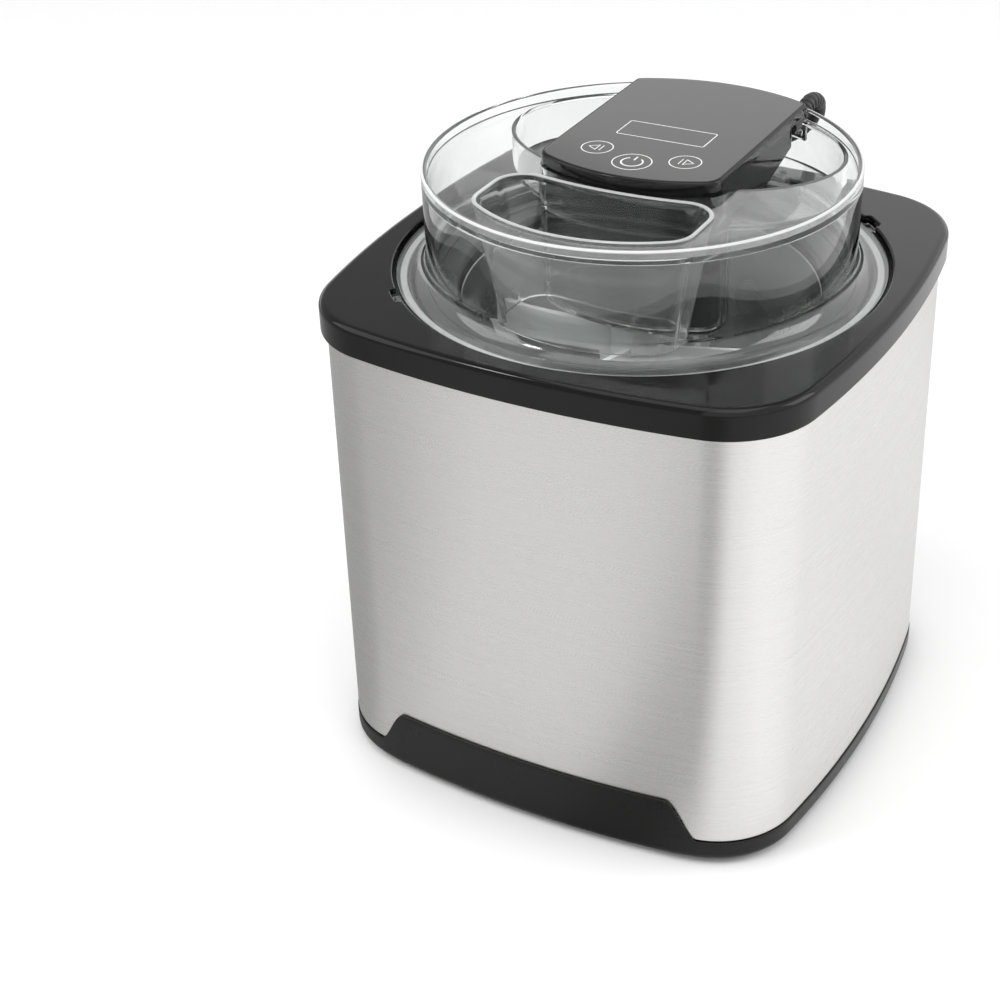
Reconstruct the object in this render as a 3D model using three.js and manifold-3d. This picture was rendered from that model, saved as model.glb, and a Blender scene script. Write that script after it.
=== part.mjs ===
// Top-drive electric ice cream maker: steel body, gel-filled freezing canister, clear lid
// with a chute, and a lift-off motor head with its mains cord.
// Units are millimetres. +Z is up, the front (control panel) faces -Y, and the origin is at the
// middle of the footprint, on the surface that the machine stands on.

import * as THREE from 'three';
import { mergeVertices } from 'three/addons/utils/BufferGeometryUtils.js';
import Module from 'manifold-3d';

const wasm = await Module();
wasm.setup();

// ---------------------------------------------------------------- driving dimensions

const GAP = 0.3; // space left between two pieces that touch
const RUNNING_FIT = 0.4; // space round a piece that turns or slides

// Body plan: a square with bowed sides and round corners, measured on the deck.
const DECK_MARGIN = 10.5; // deck left beside its round opening, where it is narrowest
const SIDE_BOW = 11.7;
const DECK_CORNER = 42;

// Heights, from the table up.
const FOOT_HEIGHT = 2;
const BASE_BAND = 10.6;
const BODY_SEAM = 0.8;
const STEEL_HEIGHT = 203.9;
const SKIRT_HEIGHT = 13.7;

// Deck and steel shell.
const DECK_WALL = 2.4;
const DECK_EDGE_RADIUS = 3.2;
const SHELL_WALL = 1.2;
const SHELL_FLARE = 1.2; // how much wider the shell is at its foot than at its top, on each side
const SHELL_SKIRT_OVERLAP = 8;
const SHELL_TUCK = 0.5; // between the deck's skirt and the shell's top

// Base tray and its raised front plate.
const BASE_WALL = 3;
const BASE_FLOOR = 2.5;
const BASE_EDGE_RADIUS = 4;
const REST_RADIUS = 60; // of the ring that the tub stands on
const PLATE_RISE = 20;
const PLATE_END_MARGIN = 38; // from the body's side to the plate's foot
const PLATE_END_SLOPE = 16; // how much shorter the plate is at its top, at each end
const PLATE_STAND_OFF = 1.4;
const PLATE_LEAN = 0.2; // how much the raised plate leans back, top to bottom
const BASE_PROUD = 0.4; // how much the base stands out past the shell's foot
const FOOT_RADIUS = 11;
const FOOT_SIDE_MARGIN = 36; // from the body's side to a foot's middle
const FOOT_END_MARGIN = 56; // from the body's front or back to a foot's middle
const FOOT_PEG = 5;

// Inner tub, which holds the canister, with corner posts that carry the deck.
const CANISTER_CLEARANCE = 2; // round the canister's rim, inside the tub
const TUB_WALL = 2;
const TUB_FLOOR = 2.5;
const TUB_FLANGE = 2.5;
const POST_RADIUS = 5;
const POST_STAND_OFF = 12.5; // a post's middle, out from the tub's wall
const EAR_STAND_OFF = 16.5; // a deck screw, out from the deck's opening
const EAR_WIDTH = 12;
const EAR_END = 5; // from the deck screw to the ear's end
const BOSS_RADIUS = 4;
const FLANGE_SPREAD = 6; // how far the tub's flange reaches past the lid's
const SCREW_SHANK = 1.5;
const SCREW_HEAD = 3.2;
const SCREW_HEAD_HEIGHT = 1.8;
const BASE_SCREW_LENGTH = 12;
const BASE_SCREW_SINK = 1.2; // depth of the screw head's seat in the base
const DECK_SCREW_LENGTH = 6.5;

// Lid: flange, drum, top plate, rim bead.
const FLANGE_COVER = 6.5; // how far the flange reaches past the tub's bore
const FLANGE_WIDTH = 13.5; // from the drum to the flange's edge
const FLANGE_THICKNESS = 2.7;
const FLANGE_RECESS = 2; // below the deck's top
const FLANGE_CLEARANCE = 1.5; // round the flange, inside the deck's hole
const DRUM_DRAFT = 0.5;
const DRUM_HEIGHT = 48.2; // from the flange's top to the rim's top
const DRUM_FILLET = 8;
const LID_WALL = 2;
const PLATE_DROP = 4.4; // top plate below the rim
const RIM_WIDTH = 2.6;
const RIM_EDGE = 0.7;
const TAB_REACH = 3.4;
const TAB_WIDTH = 10;
const TAB_THICKNESS = 1.7;
const GASKET_THICKNESS = 1.7;
const GASKET_WIDTH = 3;
const GASKET_INSET = 2;
const NOTCH_PLAY = 1;

// Chute at the lid's front, open at both ends.
const CHUTE_RIM_MARGIN = 17; // from the chute's front to the drum's outer face
const CHUTE_HALF = 48.5;
const CHUTE_REAR = -31;
const CHUTE_REAR_RADIUS = 200;
const CHUTE_CORNER = 12;
const CHUTE_DEPTH = 54;
const CHUTE_SIDE_TAPER = 10;
const CHUTE_FRONT_TAPER = 9;
const CHUTE_LIP = 1.2;

// Well for the motor head, in the lid's top.
const WELL_SIDE_MARGIN = 18.5; // from the drum's outer face
const WELL_BACK_MARGIN = 8.5;
const WELL_CENTRE_Y = 36;
const WELL_DEPTH = 18.6;
const WELL_CLEARANCE = 1;
const DRIVE_HOLE_PLAY = 1.4; // round the drive socket, in the well's foot

// Motor head: cover, and the housing that drops into the well.
const COVER_ABOVE_RIM = 1.8;
const COVER_THICKNESS = 5.5;
const COVER_HALF = 42.2;
const COVER_FRONT = -26;
const COVER_FRONT_RADIUS = 83;
const COVER_RIM_PLAY = 0.8; // from the lid's rim bead to the cover, under the lip that covers the bead
const COVER_FRONT_CORNER = 9;
const COVER_REAR_CORNER = 3;
const OVERLAY_THICKNESS = 0.5;
const OVERLAY_MARGIN = 1.2;
const HOUSING_WALL = 2.2;
const COVER_OVERHANG = 1.2; // past the housing, at the sides
const COVER_FRONT_OVERHANG = 3.5;
const COVER_REAR_OVERHANG = 12;
const COLUMN_FRONT = 20; // from the drive axis to the column's front
const FRONT_BLOCK_HALF = 40; // half width of the housing's lower front, before the column
const FRONT_BLOCK_BACK = 6; // from the drive axis to the front block's back
const MOTOR_CLEARANCE = 2.3; // from the motor to the column's wall
const SCREW_SIDE_MARGIN = 7;
const SCREW_FRONT_Y = 1;
const SCREW_BACK_Y = 44;
const HEAD_POST_RADIUS = 3.6;
const HEAD_POST_DROP = 8; // the housing's screw posts end this far below the cover
const HEAD_SCREW_SINK = 8; // from a post's top down to its screw's seat
const HEAD_SCREW_LENGTH = 14.5;
const HEAD_SCREW_BITE = 8; // depth of the cover's screw holes
const COVER_EDGE = 1.2; // round of the cover's upper edge
const COVER_CHAMFER = 0.8; // of its lower edge
const COVER_SKIN = 1.8; // left under the film
const COVER_LEDGE = 2; // where the cover rests on the housing, inside the wall
const COLUMN_CORNER = 20; // of the column that holds the gears and the motor
const HOUSING_DROP = 64; // from the cover's underside to the housing's foot
const HOUSING_SLOPE_RISE = 10;

// Gear train: two like reductions from the motor to the drive socket.
const GEAR_MODULE = 0.8;
const PINION_TEETH = 10;
const WHEEL_TEETH = 32;
const GEAR_BACKLASH = 0.3;
const GEAR_WIDTH = 5;
const PRESSURE_ANGLE = THREE.MathUtils.degToRad(20);
const MOTOR_DISTANCE = 31; // motor axis behind the drive axis
const MOTOR_RADIUS = 19;
const MOTOR_HEIGHT = 27;
const MOTOR_WALL = 4;
const SHAFT_RADIUS = 1.5;
const GEAR_PLATE_THICKNESS = 2;
const GEAR_FLOOR_GAP = 3; // under the lower wheel
const GEAR_STEP = 2; // between the two wheels' planes
const GEAR_PLATE_PLAY = 0.6; // inside the housing's wall
const GEAR_PLATE_GAP = 1.5; // over the upper wheel
const SHAFT_SHY = 0.5; // how far shafts end below the gear plate's top
const PINION_OVERLAP = 0.5; // how far a pinion reaches past its wheel
const MOTOR_END = 3; // thickness of the motor can's ends
const ROTOR_GAP = 1;
const MOTOR_OPENING = 4; // round the motor's shaft, in the gear plate

// Drive coupling between the head and the dasher: two lugs and two wings with free play.
const SOCKET_RADIUS = 10;
const SOCKET_BORE = 8;
const SOCKET_DEPTH = 7;
const DOG_WIDTH = 36; // degrees that a lug or a wing takes
const DOG_CORE = 3.6;
const SPINDLE_RADIUS = 6;
const BUSH_WALL = 2.4;
const BUSH_FLANGE = 1.5; // width and height of the bush's flange
const DOG_PLAY = 0.4; // more room round the wings' core
const WING_BELOW_HOUSING = 1.5; // from the housing's foot to the wings' tops
const SOCKET_HEADROOM = 0.6; // over the wings, in the socket

// Freezing canister.
const COOLANT_WIDTH = 16.5; // from the bowl's bore to the canister's outer face
const CANISTER_DRAFT = 2.5;
const CANISTER_WALL = 2;
const BOWL_BORE = 80;
const BOWL_DRAFT = 3;
const BOWL_WALL = 1.6;
const BOWL_DEPTH = 126;
const BOWL_FILLET = 14;
const RIM_RING_HEIGHT = 6;
const RIM_RING_OVERHANG = 3;
const RIM_RING_SHY = 0.4; // how much wider the ring is than the bowl's mouth
const RIM_RING_EDGE = 1;
const RIM_RING_SLOPE = 2;
const CANISTER_HEADROOM = 4.2; // between the canister's rim and the lid's flange
const CANISTER_CHAMFER = 6;
const GEL_AIR_SPACE = 6;
const PIVOT_RADIUS = 4;
const PIVOT_HEIGHT = 9;
const PIVOT_TAPER = 1;

// Dasher.
const DASHER_TIP_GAP = 2.5;
const DASHER_FLOOR_GAP = 2;
const DASHER_FOOT_FRAME = 17.6; // height of an arm's lower bar, which clears the bowl's round edge
const DASHER_BLADE = 3;
const DASHER_COLUMN = 9;
const DASHER_FRAME = 11;
const DASHER_ARMS = 4;
const DASHER_HUB = 13; // radius and height

// Controls.
const KEY_SPREAD = 20.8;
const SIDE_KEY_RADIUS = 7.4;
const POWER_KEY_RADIUS = 9;
const POWER_KEY_SET_BACK = -8.8;
const KEY_TRAVEL = 0.4;
const KEY_SLACK = 0.1; // left above a switch when its key is fully down
const KEY_SKIRT = 1; // height of the stem under a key's cap
const KEY_STEM_RADIUS = 2.2;
const KEY_THICKNESS = 2.6;
const LCD_WIDTH = 41.6;
const LCD_DEPTH = 16;
const LCD_CENTRE_Y = 26.2;
const LCD_THICKNESS = 4;
const BOARD_THICKNESS = 1.6;
const BOARD_DROP = 4; // below the cover's underside
const BOARD_CORNER = 12;
const BOARD_POST_ROOM = 4.4; // holes for the screw posts
const BOARD_HALF_WIDTH = 32;
const BOARD_FRONT = -14;
const BOARD_BACK = 50;
const SWITCH_SIZE = 6;

// Mains cord, strain relief and plug.
const CORD_DIAMETER = 6.2;
const CORD_EXIT_X = 38;
const CORD_EXIT_HEIGHT = 271; // cord's middle where it leaves the head
const RELIEF_LENGTH = 34;
const RELIEF_ROOT_RADIUS = 3.9;
const RELIEF_TIP_RADIUS = 3.4;
const CORD_SLOT_CLEARANCE = 1.2;
const PASSAGE_REACH = 20; // of the strain relief's hole, to each side of the housing's back
const CORD_END_GAP = 1.1; // between the strain relief's tip and the bare cord
const COIL_CENTRE = [-55, 212];
const COIL_TURN_RADIUS = 34;
const COIL_LIFT = 1;
const TIE_THICKNESS = 0.6;
const TIE_WIDTH = 12;
// Half width, half depth and height of the plug's sections.
const PLUG_SECTIONS = [[5, 5, 0], [6, 5.5, 9], [11.5, 8.6, 15], [12, 8.8, 27], [11, 8, 29]];
const BLADE_SPREAD = 12.7;
const BLADE_WIDTH = 6.2;
const BLADE_THICKNESS = 1.5;
const BLADE_LENGTH = 16;

// ---------------------------------------------------------------- sizes worked out from those

const canisterRadius = BOWL_BORE + COOLANT_WIDTH;
const rimRingRadius = canisterRadius + RIM_RING_OVERHANG;
const tubBore = rimRingRadius + CANISTER_CLEARANCE;
const flangeRadius = tubBore + FLANGE_COVER;
const holeRadius = flangeRadius + FLANGE_CLEARANCE;
const deckHalf = holeRadius + DECK_MARGIN;
const postPlace = tubBore + TUB_WALL + POST_STAND_OFF;
const earPlace = holeRadius + EAR_STAND_OFF;
const drumRadius = flangeRadius - FLANGE_WIDTH;
const chuteFrontRadius = drumRadius - CHUTE_RIM_MARGIN;
const wellHalfWidth = drumRadius - WELL_SIDE_MARGIN;
const wellHalfDepth = drumRadius - WELL_BACK_MARGIN - WELL_CENTRE_Y;
const housingRearRadius = drumRadius - COVER_REAR_OVERHANG;
const housingHalf = COVER_HALF - COVER_OVERHANG;
const housingFront = COVER_FRONT + COVER_FRONT_OVERHANG;
const columnHalf = MOTOR_RADIUS + MOTOR_CLEARANCE + HOUSING_WALL;
const columnBack = MOTOR_DISTANCE + columnHalf;
const plateBottomHalf = deckHalf - PLATE_END_MARGIN;
const plateTopHalf = plateBottomHalf - PLATE_END_SLOPE;

const baseBottom = FOOT_HEIGHT;
const baseTop = baseBottom + BASE_BAND;
const shellBottom = baseTop + BODY_SEAM;
const skirtBottom = shellBottom + STEEL_HEIGHT;
const deckTop = skirtBottom + SKIRT_HEIGHT;
const deckUnder = deckTop - DECK_WALL;
const flangeTop = deckTop - FLANGE_RECESS;
const flangeUnder = flangeTop - FLANGE_THICKNESS;
const rimTop = flangeTop + DRUM_HEIGHT;
const plateTop = rimTop - PLATE_DROP;
const plateUnder = plateTop - LID_WALL;
const coverTop = rimTop + COVER_ABOVE_RIM;
const coverUnder = coverTop - COVER_THICKNESS;
const housingTop = coverUnder - GAP;
const housingBottom = coverUnder - HOUSING_DROP;
const housingFloor = housingBottom + HOUSING_WALL;
const wellFloor = plateTop - WELL_DEPTH;
const cupFloor = housingBottom - WELL_CLEARANCE;
const tubTop = flangeUnder - 2 * GAP - GASKET_THICKNESS;
const tubBottom = baseBottom + BASE_FLOOR + BASE_WALL;
const tubFloor = tubBottom + TUB_FLOOR;
const canisterBottom = tubFloor + GAP;
const ringTop = flangeUnder - CANISTER_HEADROOM;
const ringUnder = ringTop - RIM_RING_HEIGHT;
const bowlTop = ringUnder - GAP;
const bowlFloor = bowlTop - BOWL_DEPTH;

// ---------------------------------------------------------------- helpers

const SEGMENTS = 44;

/** Merged, closed geometry with its faces pointing out, as a solid. */
function solid(geometry) {
  const bare = geometry.index ? geometry.clone() : geometry;
  bare.deleteAttribute('normal');
  bare.deleteAttribute('uv');
  const merged = mergeVertices(bare, 1e-4);
  const vertProperties = new Float32Array(merged.attributes.position.array);
  const triVerts = new Uint32Array(merged.index.array);
  if (signedVolume(vertProperties, triVerts) < 0) {
    for (let i = 0; i < triVerts.length; i += 3) {
      [triVerts[i + 1], triVerts[i + 2]] = [triVerts[i + 2], triVerts[i + 1]];
    }
  }
  return new wasm.Manifold(new wasm.Mesh({ numProp: 3, vertProperties, triVerts }));
}

function signedVolume(p, t) {
  const [a, b, c] = [new THREE.Vector3(), new THREE.Vector3(), new THREE.Vector3()];
  let sum = 0;
  for (let i = 0; i < t.length; i += 3) {
    a.fromArray(p, t[i] * 3);
    b.fromArray(p, t[i + 1] * 3);
    c.fromArray(p, t[i + 2] * 3);
    sum += a.dot(b.cross(c));
  }
  return sum;
}

/** A plan outline (list of [x, y]) raised from z0 to z1. */
function prism(points, z0, z1) {
  const shape = new THREE.Shape(points.map(([x, y]) => new THREE.Vector2(x, y)));
  const geometry = new THREE.ExtrudeGeometry(shape, { depth: z1 - z0, bevelEnabled: false, steps: 1 });
  return solid(geometry.translate(0, 0, z0));
}

/** A round post from z0 to z1; it tapers where a second radius is given. */
function post(radius, z0, z1, x = 0, y = 0, segments = 32, topRadius = radius) {
  const geometry = new THREE.CylinderGeometry(topRadius, radius, z1 - z0, segments);
  geometry.rotateX(Math.PI / 2).translate(x, y, (z0 + z1) / 2);
  return solid(geometry);
}

function block(x0, x1, y0, y1, z0, z1) {
  const geometry = new THREE.BoxGeometry(x1 - x0, y1 - y0, z1 - z0);
  return solid(geometry.translate((x0 + x1) / 2, (y0 + y1) / 2, (z0 + z1) / 2));
}

/** A profile of [radius, z] turned about the Z axis. */
function turned(profile, segments = SEGMENTS) {
  const closed = [...profile, profile[0]].map(([r, z]) => new THREE.Vector2(Math.max(r, 0), z));
  return solid(new THREE.LatheGeometry(closed, segments).rotateX(Math.PI / 2));
}

/** A ring between two radii. */
function ring(inner, outer, z0, z1, segments = SEGMENTS) {
  return turned([[inner, z0], [outer, z0], [outer, z1], [inner, z1]], segments);
}

/** Skin through plan outlines of equal length at rising heights: [[points, z], ...]. */
function loft(sections) {
  const count = sections[0][0].length;
  const vertices = sections.flatMap(([points, z]) => points.map(([x, y]) => [x, y, z])).flat();
  const index = bands(sections.length, count);
  const contour = (k) => sections[k][0].map(([x, y]) => new THREE.Vector2(x, y));
  const last = sections.length - 1;
  for (const [a, b, c] of THREE.ShapeUtils.triangulateShape(contour(0), [])) index.push(a, c, b);
  for (const [a, b, c] of THREE.ShapeUtils.triangulateShape(contour(last), [])) {
    index.push(last * count + a, last * count + b, last * count + c);
  }
  return indexed(vertices, index);
}

/** Triangles of the skin between rings of `count` points each. */
function bands(rings, count) {
  const index = [];
  for (let s = 0; s + 1 < rings; s += 1) {
    for (let i = 0; i < count; i += 1) {
      const a = s * count + i;
      const b = s * count + ((i + 1) % count);
      index.push(a, b, b + count, a, b + count, a + count);
    }
  }
  return index;
}

function indexed(vertices, index) {
  const geometry = new THREE.BufferGeometry();
  geometry.setAttribute('position', new THREE.Float32BufferAttribute(vertices, 3));
  geometry.setIndex(index);
  return solid(geometry);
}

function union(...solids) {
  return solids.reduce((sum, next) => sum.add(next));
}

function degrees(angle) {
  return THREE.MathUtils.degToRad(angle);
}

/** Points on an arc about (cx, cy), both ends included. */
function arc(cx, cy, radius, from, to, steps) {
  return Array.from({ length: steps + 1 }, (_, i) => {
    const angle = from + ((to - from) * i) / steps;
    return [cx + radius * Math.cos(angle), cy + radius * Math.sin(angle)];
  });
}

/** The body's plan, drawn `inset` inside the deck's outline. */
function bodyPlan(inset = 0) {
  const half = deckHalf;
  const chord = half - SIDE_BOW;
  const sideRadius = (chord ** 2 + SIDE_BOW ** 2) / (2 * SIDE_BOW);
  const sideCentre = sideRadius - half;
  const reach = 2 * (sideRadius - DECK_CORNER) ** 2 - sideCentre ** 2;
  const corner = (-sideCentre + Math.sqrt(reach)) / 2;
  const turn = Math.atan2(corner, corner + sideCentre);
  const quarter = [
    ...arc(0, sideCentre, sideRadius - inset, -Math.PI / 2 - turn, -Math.PI / 2 + turn, 5).slice(0, -1),
    ...arc(corner, -corner, DECK_CORNER - inset, -Math.PI / 2 + turn, -turn, 6).slice(0, -1),
  ];
  return [0, 1, 2, 3].flatMap((k) => quarter.map(([x, y]) => spin(x, y, (k * Math.PI) / 2)));
}

function spin(x, y, angle) {
  return [x * Math.cos(angle) - y * Math.sin(angle), x * Math.sin(angle) + y * Math.cos(angle)];
}

/**
 * Plan of the head's pieces: a bowed front, straight sides at x = +-half, and a back that is
 * either an arc about the axis (rearRadius) or a straight line (back).
 */
function headPlan({ half, front, frontRadius, rearRadius, back, frontCorner, rearCorner }, grow = 0) {
  const side = half + grow;
  const bow = frontRadius + grow;
  const bowCentre = front + frontRadius;
  const r1 = Math.max(frontCorner + grow, 0.5);
  const r2 = Math.max(rearCorner + grow, 0.5);
  const y1 = bowCentre - Math.sqrt((bow - r1) ** 2 - (side - r1) ** 2);
  const lean = Math.atan2(y1 - bowCentre, side - r1);
  const right = [
    ...arc(0, bowCentre, bow, -Math.PI / 2, lean, 4).slice(0, -1),
    ...arc(side - r1, y1, r1, lean, 0, 4),
  ];
  if (back === undefined) {
    const rear = rearRadius + grow;
    const y2 = Math.sqrt((rear - r2) ** 2 - (side - r2) ** 2);
    const open = Math.atan2(y2, side - r2);
    right.push(...arc(side - r2, y2, r2, 0, open, 3).slice(0, -1));
    right.push(...arc(0, 0, rear, open, Math.PI / 2, 5));
  } else {
    right.push(...arc(side - r2, back + grow - r2, r2, 0, Math.PI / 2, 4));
    right.push([0, back + grow]);
  }
  const left = right.slice(1, -1).reverse().map(([x, y]) => [-x, y]);
  return [...right, ...left];
}

/** Plan of the chute, between a bowed rear edge and a front arc about the axis. */
function chutePlan(grow, sideTaper = 0, frontTaper = 0) {
  const front = chuteFrontRadius - frontTaper + grow;
  const side = CHUTE_HALF - sideTaper + grow;
  const bow = CHUTE_REAR_RADIUS - grow;
  const bowCentre = CHUTE_REAR + CHUTE_REAR_RADIUS;
  const round = CHUTE_CORNER + grow;
  const y1 = bowCentre - Math.sqrt((bow + round) ** 2 - (side - round) ** 2);
  const y2 = -Math.sqrt((front - round) ** 2 - (side - round) ** 2);
  const a1 = Math.atan2(y1 - bowCentre, side - round);
  const a2 = Math.atan2(y2, side - round);
  const right = [
    ...arc(0, 0, front, -Math.PI / 2, a2, 6).slice(0, -1),
    ...arc(side - round, y2, round, a2, 0, 3),
    ...arc(side - round, y1, round, 0, a1 + Math.PI, 4).slice(0, -1),
    ...arc(0, bowCentre, bow, a1, -Math.PI / 2, 4),
  ];
  const left = right.slice(1, -1).reverse().map(([x, y]) => [-x, y]);
  return [...right, ...left];
}

const COVER = {
  half: COVER_HALF,
  front: COVER_FRONT,
  frontRadius: COVER_FRONT_RADIUS,
  rearRadius: drumRadius,
  frontCorner: COVER_FRONT_CORNER,
  rearCorner: COVER_REAR_CORNER,
};
const UPPER_HOUSING = { ...COVER, half: housingHalf, front: housingFront, rearRadius: housingRearRadius };
const COLUMN = {
  half: columnHalf,
  front: -COLUMN_FRONT,
  frontRadius: COVER_FRONT_RADIUS,
  back: columnBack,
  frontCorner: COLUMN_CORNER,
  rearCorner: COLUMN_CORNER,
};
const FRONT_BLOCK = {
  half: FRONT_BLOCK_HALF,
  front: housingFront,
  frontRadius: COVER_FRONT_RADIUS,
  back: FRONT_BLOCK_BACK,
  frontCorner: COVER_FRONT_CORNER,
  rearCorner: COVER_FRONT_CORNER,
};
// The front of the well, where its oval is narrower than the upper housing.
const WELL_FRONT = {
  ...UPPER_HOUSING,
  rearRadius: undefined,
  back: WELL_CENTRE_Y,
  rearCorner: COVER_FRONT_CORNER,
};

/** Outline of a spur gear with a tooth (or, with gap true, a tooth space) towards `facing`. */
function gearOutline(teeth, facing, gap) {
  const pitch = (GEAR_MODULE * teeth) / 2;
  const base = pitch * Math.cos(PRESSURE_ANGLE);
  const tip = pitch + 0.9 * GEAR_MODULE;
  const root = pitch - 1.25 * GEAR_MODULE;
  const involute = (a) => Math.tan(a) - a;
  const halfTooth = (Math.PI * pitch) / teeth / 2 - GEAR_BACKLASH / 2;
  const halfAt = (radius) => {
    const angle = radius > base ? Math.acos(base / radius) : 0;
    return halfTooth / pitch + involute(PRESSURE_ANGLE) - involute(angle);
  };
  const start = Math.max(base, root);
  const flank = [root, start + 0.35 * (tip - start), tip];
  const step = (2 * Math.PI) / teeth;
  const first = facing + (gap ? step / 2 : 0);
  const points = [];
  for (let tooth = 0; tooth < teeth; tooth += 1) {
    const middle = first + tooth * step;
    for (const radius of flank) points.push(polar(radius, middle - halfAt(radius)));
    for (const radius of [...flank].reverse()) points.push(polar(radius, middle + halfAt(radius)));
  }
  return points;
}

function polar(radius, angle) {
  return [radius * Math.cos(angle), radius * Math.sin(angle)];
}

function sector(radius, middle, width, steps = 6) {
  const half = degrees(width) / 2;
  return [[0, 0], ...arc(0, 0, radius, middle - half, middle + half, steps)];
}

// ---------------------------------------------------------------- materials

const BLACK = 0x151514;
const plastic = (color, roughness = 0.4) => ({ color, roughness, metalness: 0 });
const metal = (color, roughness = 0.3) => ({ color, roughness, metalness: 1 });

const root = new THREE.Group();

/** Adds one named piece; `at` is where the piece's own origin stands. */
function piece(name, shape, finish, at = [0, 0, 0]) {
  const out = shape.getMesh();
  const geometry = new THREE.BufferGeometry();
  geometry.setAttribute('position', new THREE.Float32BufferAttribute(Array.from(out.vertProperties), 3));
  geometry.setIndex(Array.from(out.triVerts));
  geometry.computeVertexNormals();
  const mesh = new THREE.Mesh(geometry, new THREE.MeshStandardMaterial(finish));
  mesh.name = name;
  mesh.position.set(...at);
  root.add(mesh);
  return mesh;
}

// ---------------------------------------------------------------- body

const shellTopInset = DECK_WALL + SHELL_TUCK;
const shellFootInset = shellTopInset - SHELL_FLARE;
const shellTop = skirtBottom + SHELL_SKIRT_OVERLAP;

function steelShell() {
  const outer = loft([[bodyPlan(shellFootInset), shellBottom], [bodyPlan(shellTopInset), shellTop]]);
  const inner = loft([
    [bodyPlan(shellFootInset + SHELL_WALL), shellBottom - 1],
    [bodyPlan(shellTopInset + SHELL_WALL), shellTop + 1],
  ]);
  return outer.subtract(inner);
}

function topDeck() {
  const edge = [0, 30, 60, 90].map((angle) => {
    const a = degrees(angle);
    const inset = DECK_EDGE_RADIUS * (1 - Math.cos(a));
    return [bodyPlan(inset), deckTop - DECK_EDGE_RADIUS * (1 - Math.sin(a))];
  });
  const body = loft([[bodyPlan(), skirtBottom], ...edge]);
  const hollow = prism(bodyPlan(DECK_WALL), skirtBottom - 1, deckUnder);
  const hole = post(holeRadius, skirtBottom, deckTop + 1, 0, 0, SEGMENTS);
  const bossTop = deckUnder + 0.5;
  const bosses = diagonals(earPlace).map(([x, y]) => post(BOSS_RADIUS, tubTop + GAP, bossTop, x, y, 16));
  let deck = union(body.subtract(hollow), ...bosses).subtract(hole);
  for (const side of [0, 1]) {
    const angle = Math.PI / 4 + side * Math.PI;
    const [x, y] = polar(holeRadius, angle);
    const reach = TAB_REACH - FLANGE_CLEARANCE + NOTCH_PLAY;
    const notch = prism(
      [
        [-reach, -TAB_WIDTH / 2 - NOTCH_PLAY],
        [reach, -TAB_WIDTH / 2 - NOTCH_PLAY],
        [reach, TAB_WIDTH / 2 + NOTCH_PLAY],
        [-reach, TAB_WIDTH / 2 + NOTCH_PLAY],
      ].map(([u, v]) => spin(u, v, angle)).map(([u, v]) => [u + x, v + y]),
      deckUnder - 1,
      deckTop + 1,
    );
    deck = deck.subtract(notch);
  }
  const boreTop = tubTop - TUB_FLANGE + DECK_SCREW_LENGTH + GAP;
  for (const [x, y] of diagonals(earPlace)) {
    deck = deck.subtract(post(SCREW_SHANK + GAP, tubTop - 1, boreTop, x, y, 16));
  }
  return deck;
}

function diagonals(radius) {
  return [45, 135, 225, 315].map((angle) => polar(radius, degrees(angle)));
}

const baseScrewSeat = baseBottom + BASE_SCREW_SINK - GAP;

/** Raised plate on the base's front: straight top, sloping ends with soft corners. */
function plateOutline() {
  const bottom = baseTop - 1;
  const top = baseTop + PLATE_RISE;
  const steps = 6;
  const blend = Array.from({ length: steps + 1 }, (_, i) => {
    const t = i / steps;
    const eased = (1 - Math.cos(Math.PI * t)) / 2;
    return [plateBottomHalf + (plateTopHalf - plateBottomHalf) * t, bottom + (top - bottom) * eased];
  });
  return [...blend, ...blend.map(([x, z]) => [-x, z]).reverse()];
}

function baseTray() {
  const rounded = BASE_EDGE_RADIUS * (1 - Math.SQRT1_2);
  const foot = loft([
    [bodyPlan(shellFootInset + BASE_EDGE_RADIUS), baseBottom],
    [bodyPlan(shellFootInset + rounded), baseBottom + rounded],
    [bodyPlan(shellFootInset - BASE_PROUD), baseBottom + BASE_EDGE_RADIUS],
    [bodyPlan(shellFootInset - BASE_PROUD), baseTop],
  ]);
  const hollow = prism(bodyPlan(shellFootInset + BASE_WALL), baseBottom + BASE_FLOOR, baseTop + 1);
  const outline = plateOutline();
  const slab = new THREE.ExtrudeGeometry(
    new THREE.Shape(outline.map(([x, z]) => new THREE.Vector2(x, z))),
    { depth: DECK_CORNER, bevelEnabled: false, steps: 1 },
  ).rotateX(Math.PI / 2).translate(0, DECK_CORNER - deckHalf - 1, 0);
  const band = loft([
    [bodyPlan(shellFootInset - PLATE_STAND_OFF), baseTop - 1],
    [bodyPlan(shellFootInset - PLATE_STAND_OFF + PLATE_LEAN), baseTop + PLATE_RISE + 1],
  ]);
  const bandInside = loft([
    [bodyPlan(shellFootInset - GAP), baseTop - 2],
    [bodyPlan(shellFootInset - GAP + SHELL_FLARE * (PLATE_RISE / STEEL_HEIGHT)), baseTop + PLATE_RISE + 2],
  ]);
  const plate = solid(slab).intersect(band.subtract(bandInside));
  const rest = ring(REST_RADIUS, REST_RADIUS + BASE_WALL, baseBottom + 1, tubBottom - GAP, 40);
  let tray = union(foot.subtract(hollow), plate, rest);
  for (const [x, y] of diagonals(postPlace)) {
    tray = tray.subtract(post(SCREW_SHANK + GAP, baseBottom - 1, baseBottom + BASE_FLOOR + 1, x, y, 16));
    tray = tray.subtract(post(SCREW_HEAD + GAP, baseBottom - 1, baseScrewSeat + GAP, x, y, 16));
  }
  for (const [x, y] of footPlaces()) {
    tray = tray.subtract(post(FOOT_PEG + GAP, baseBottom - 1, baseBottom + BASE_FLOOR + 1, x, y, 16));
  }
  return tray;
}

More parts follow.
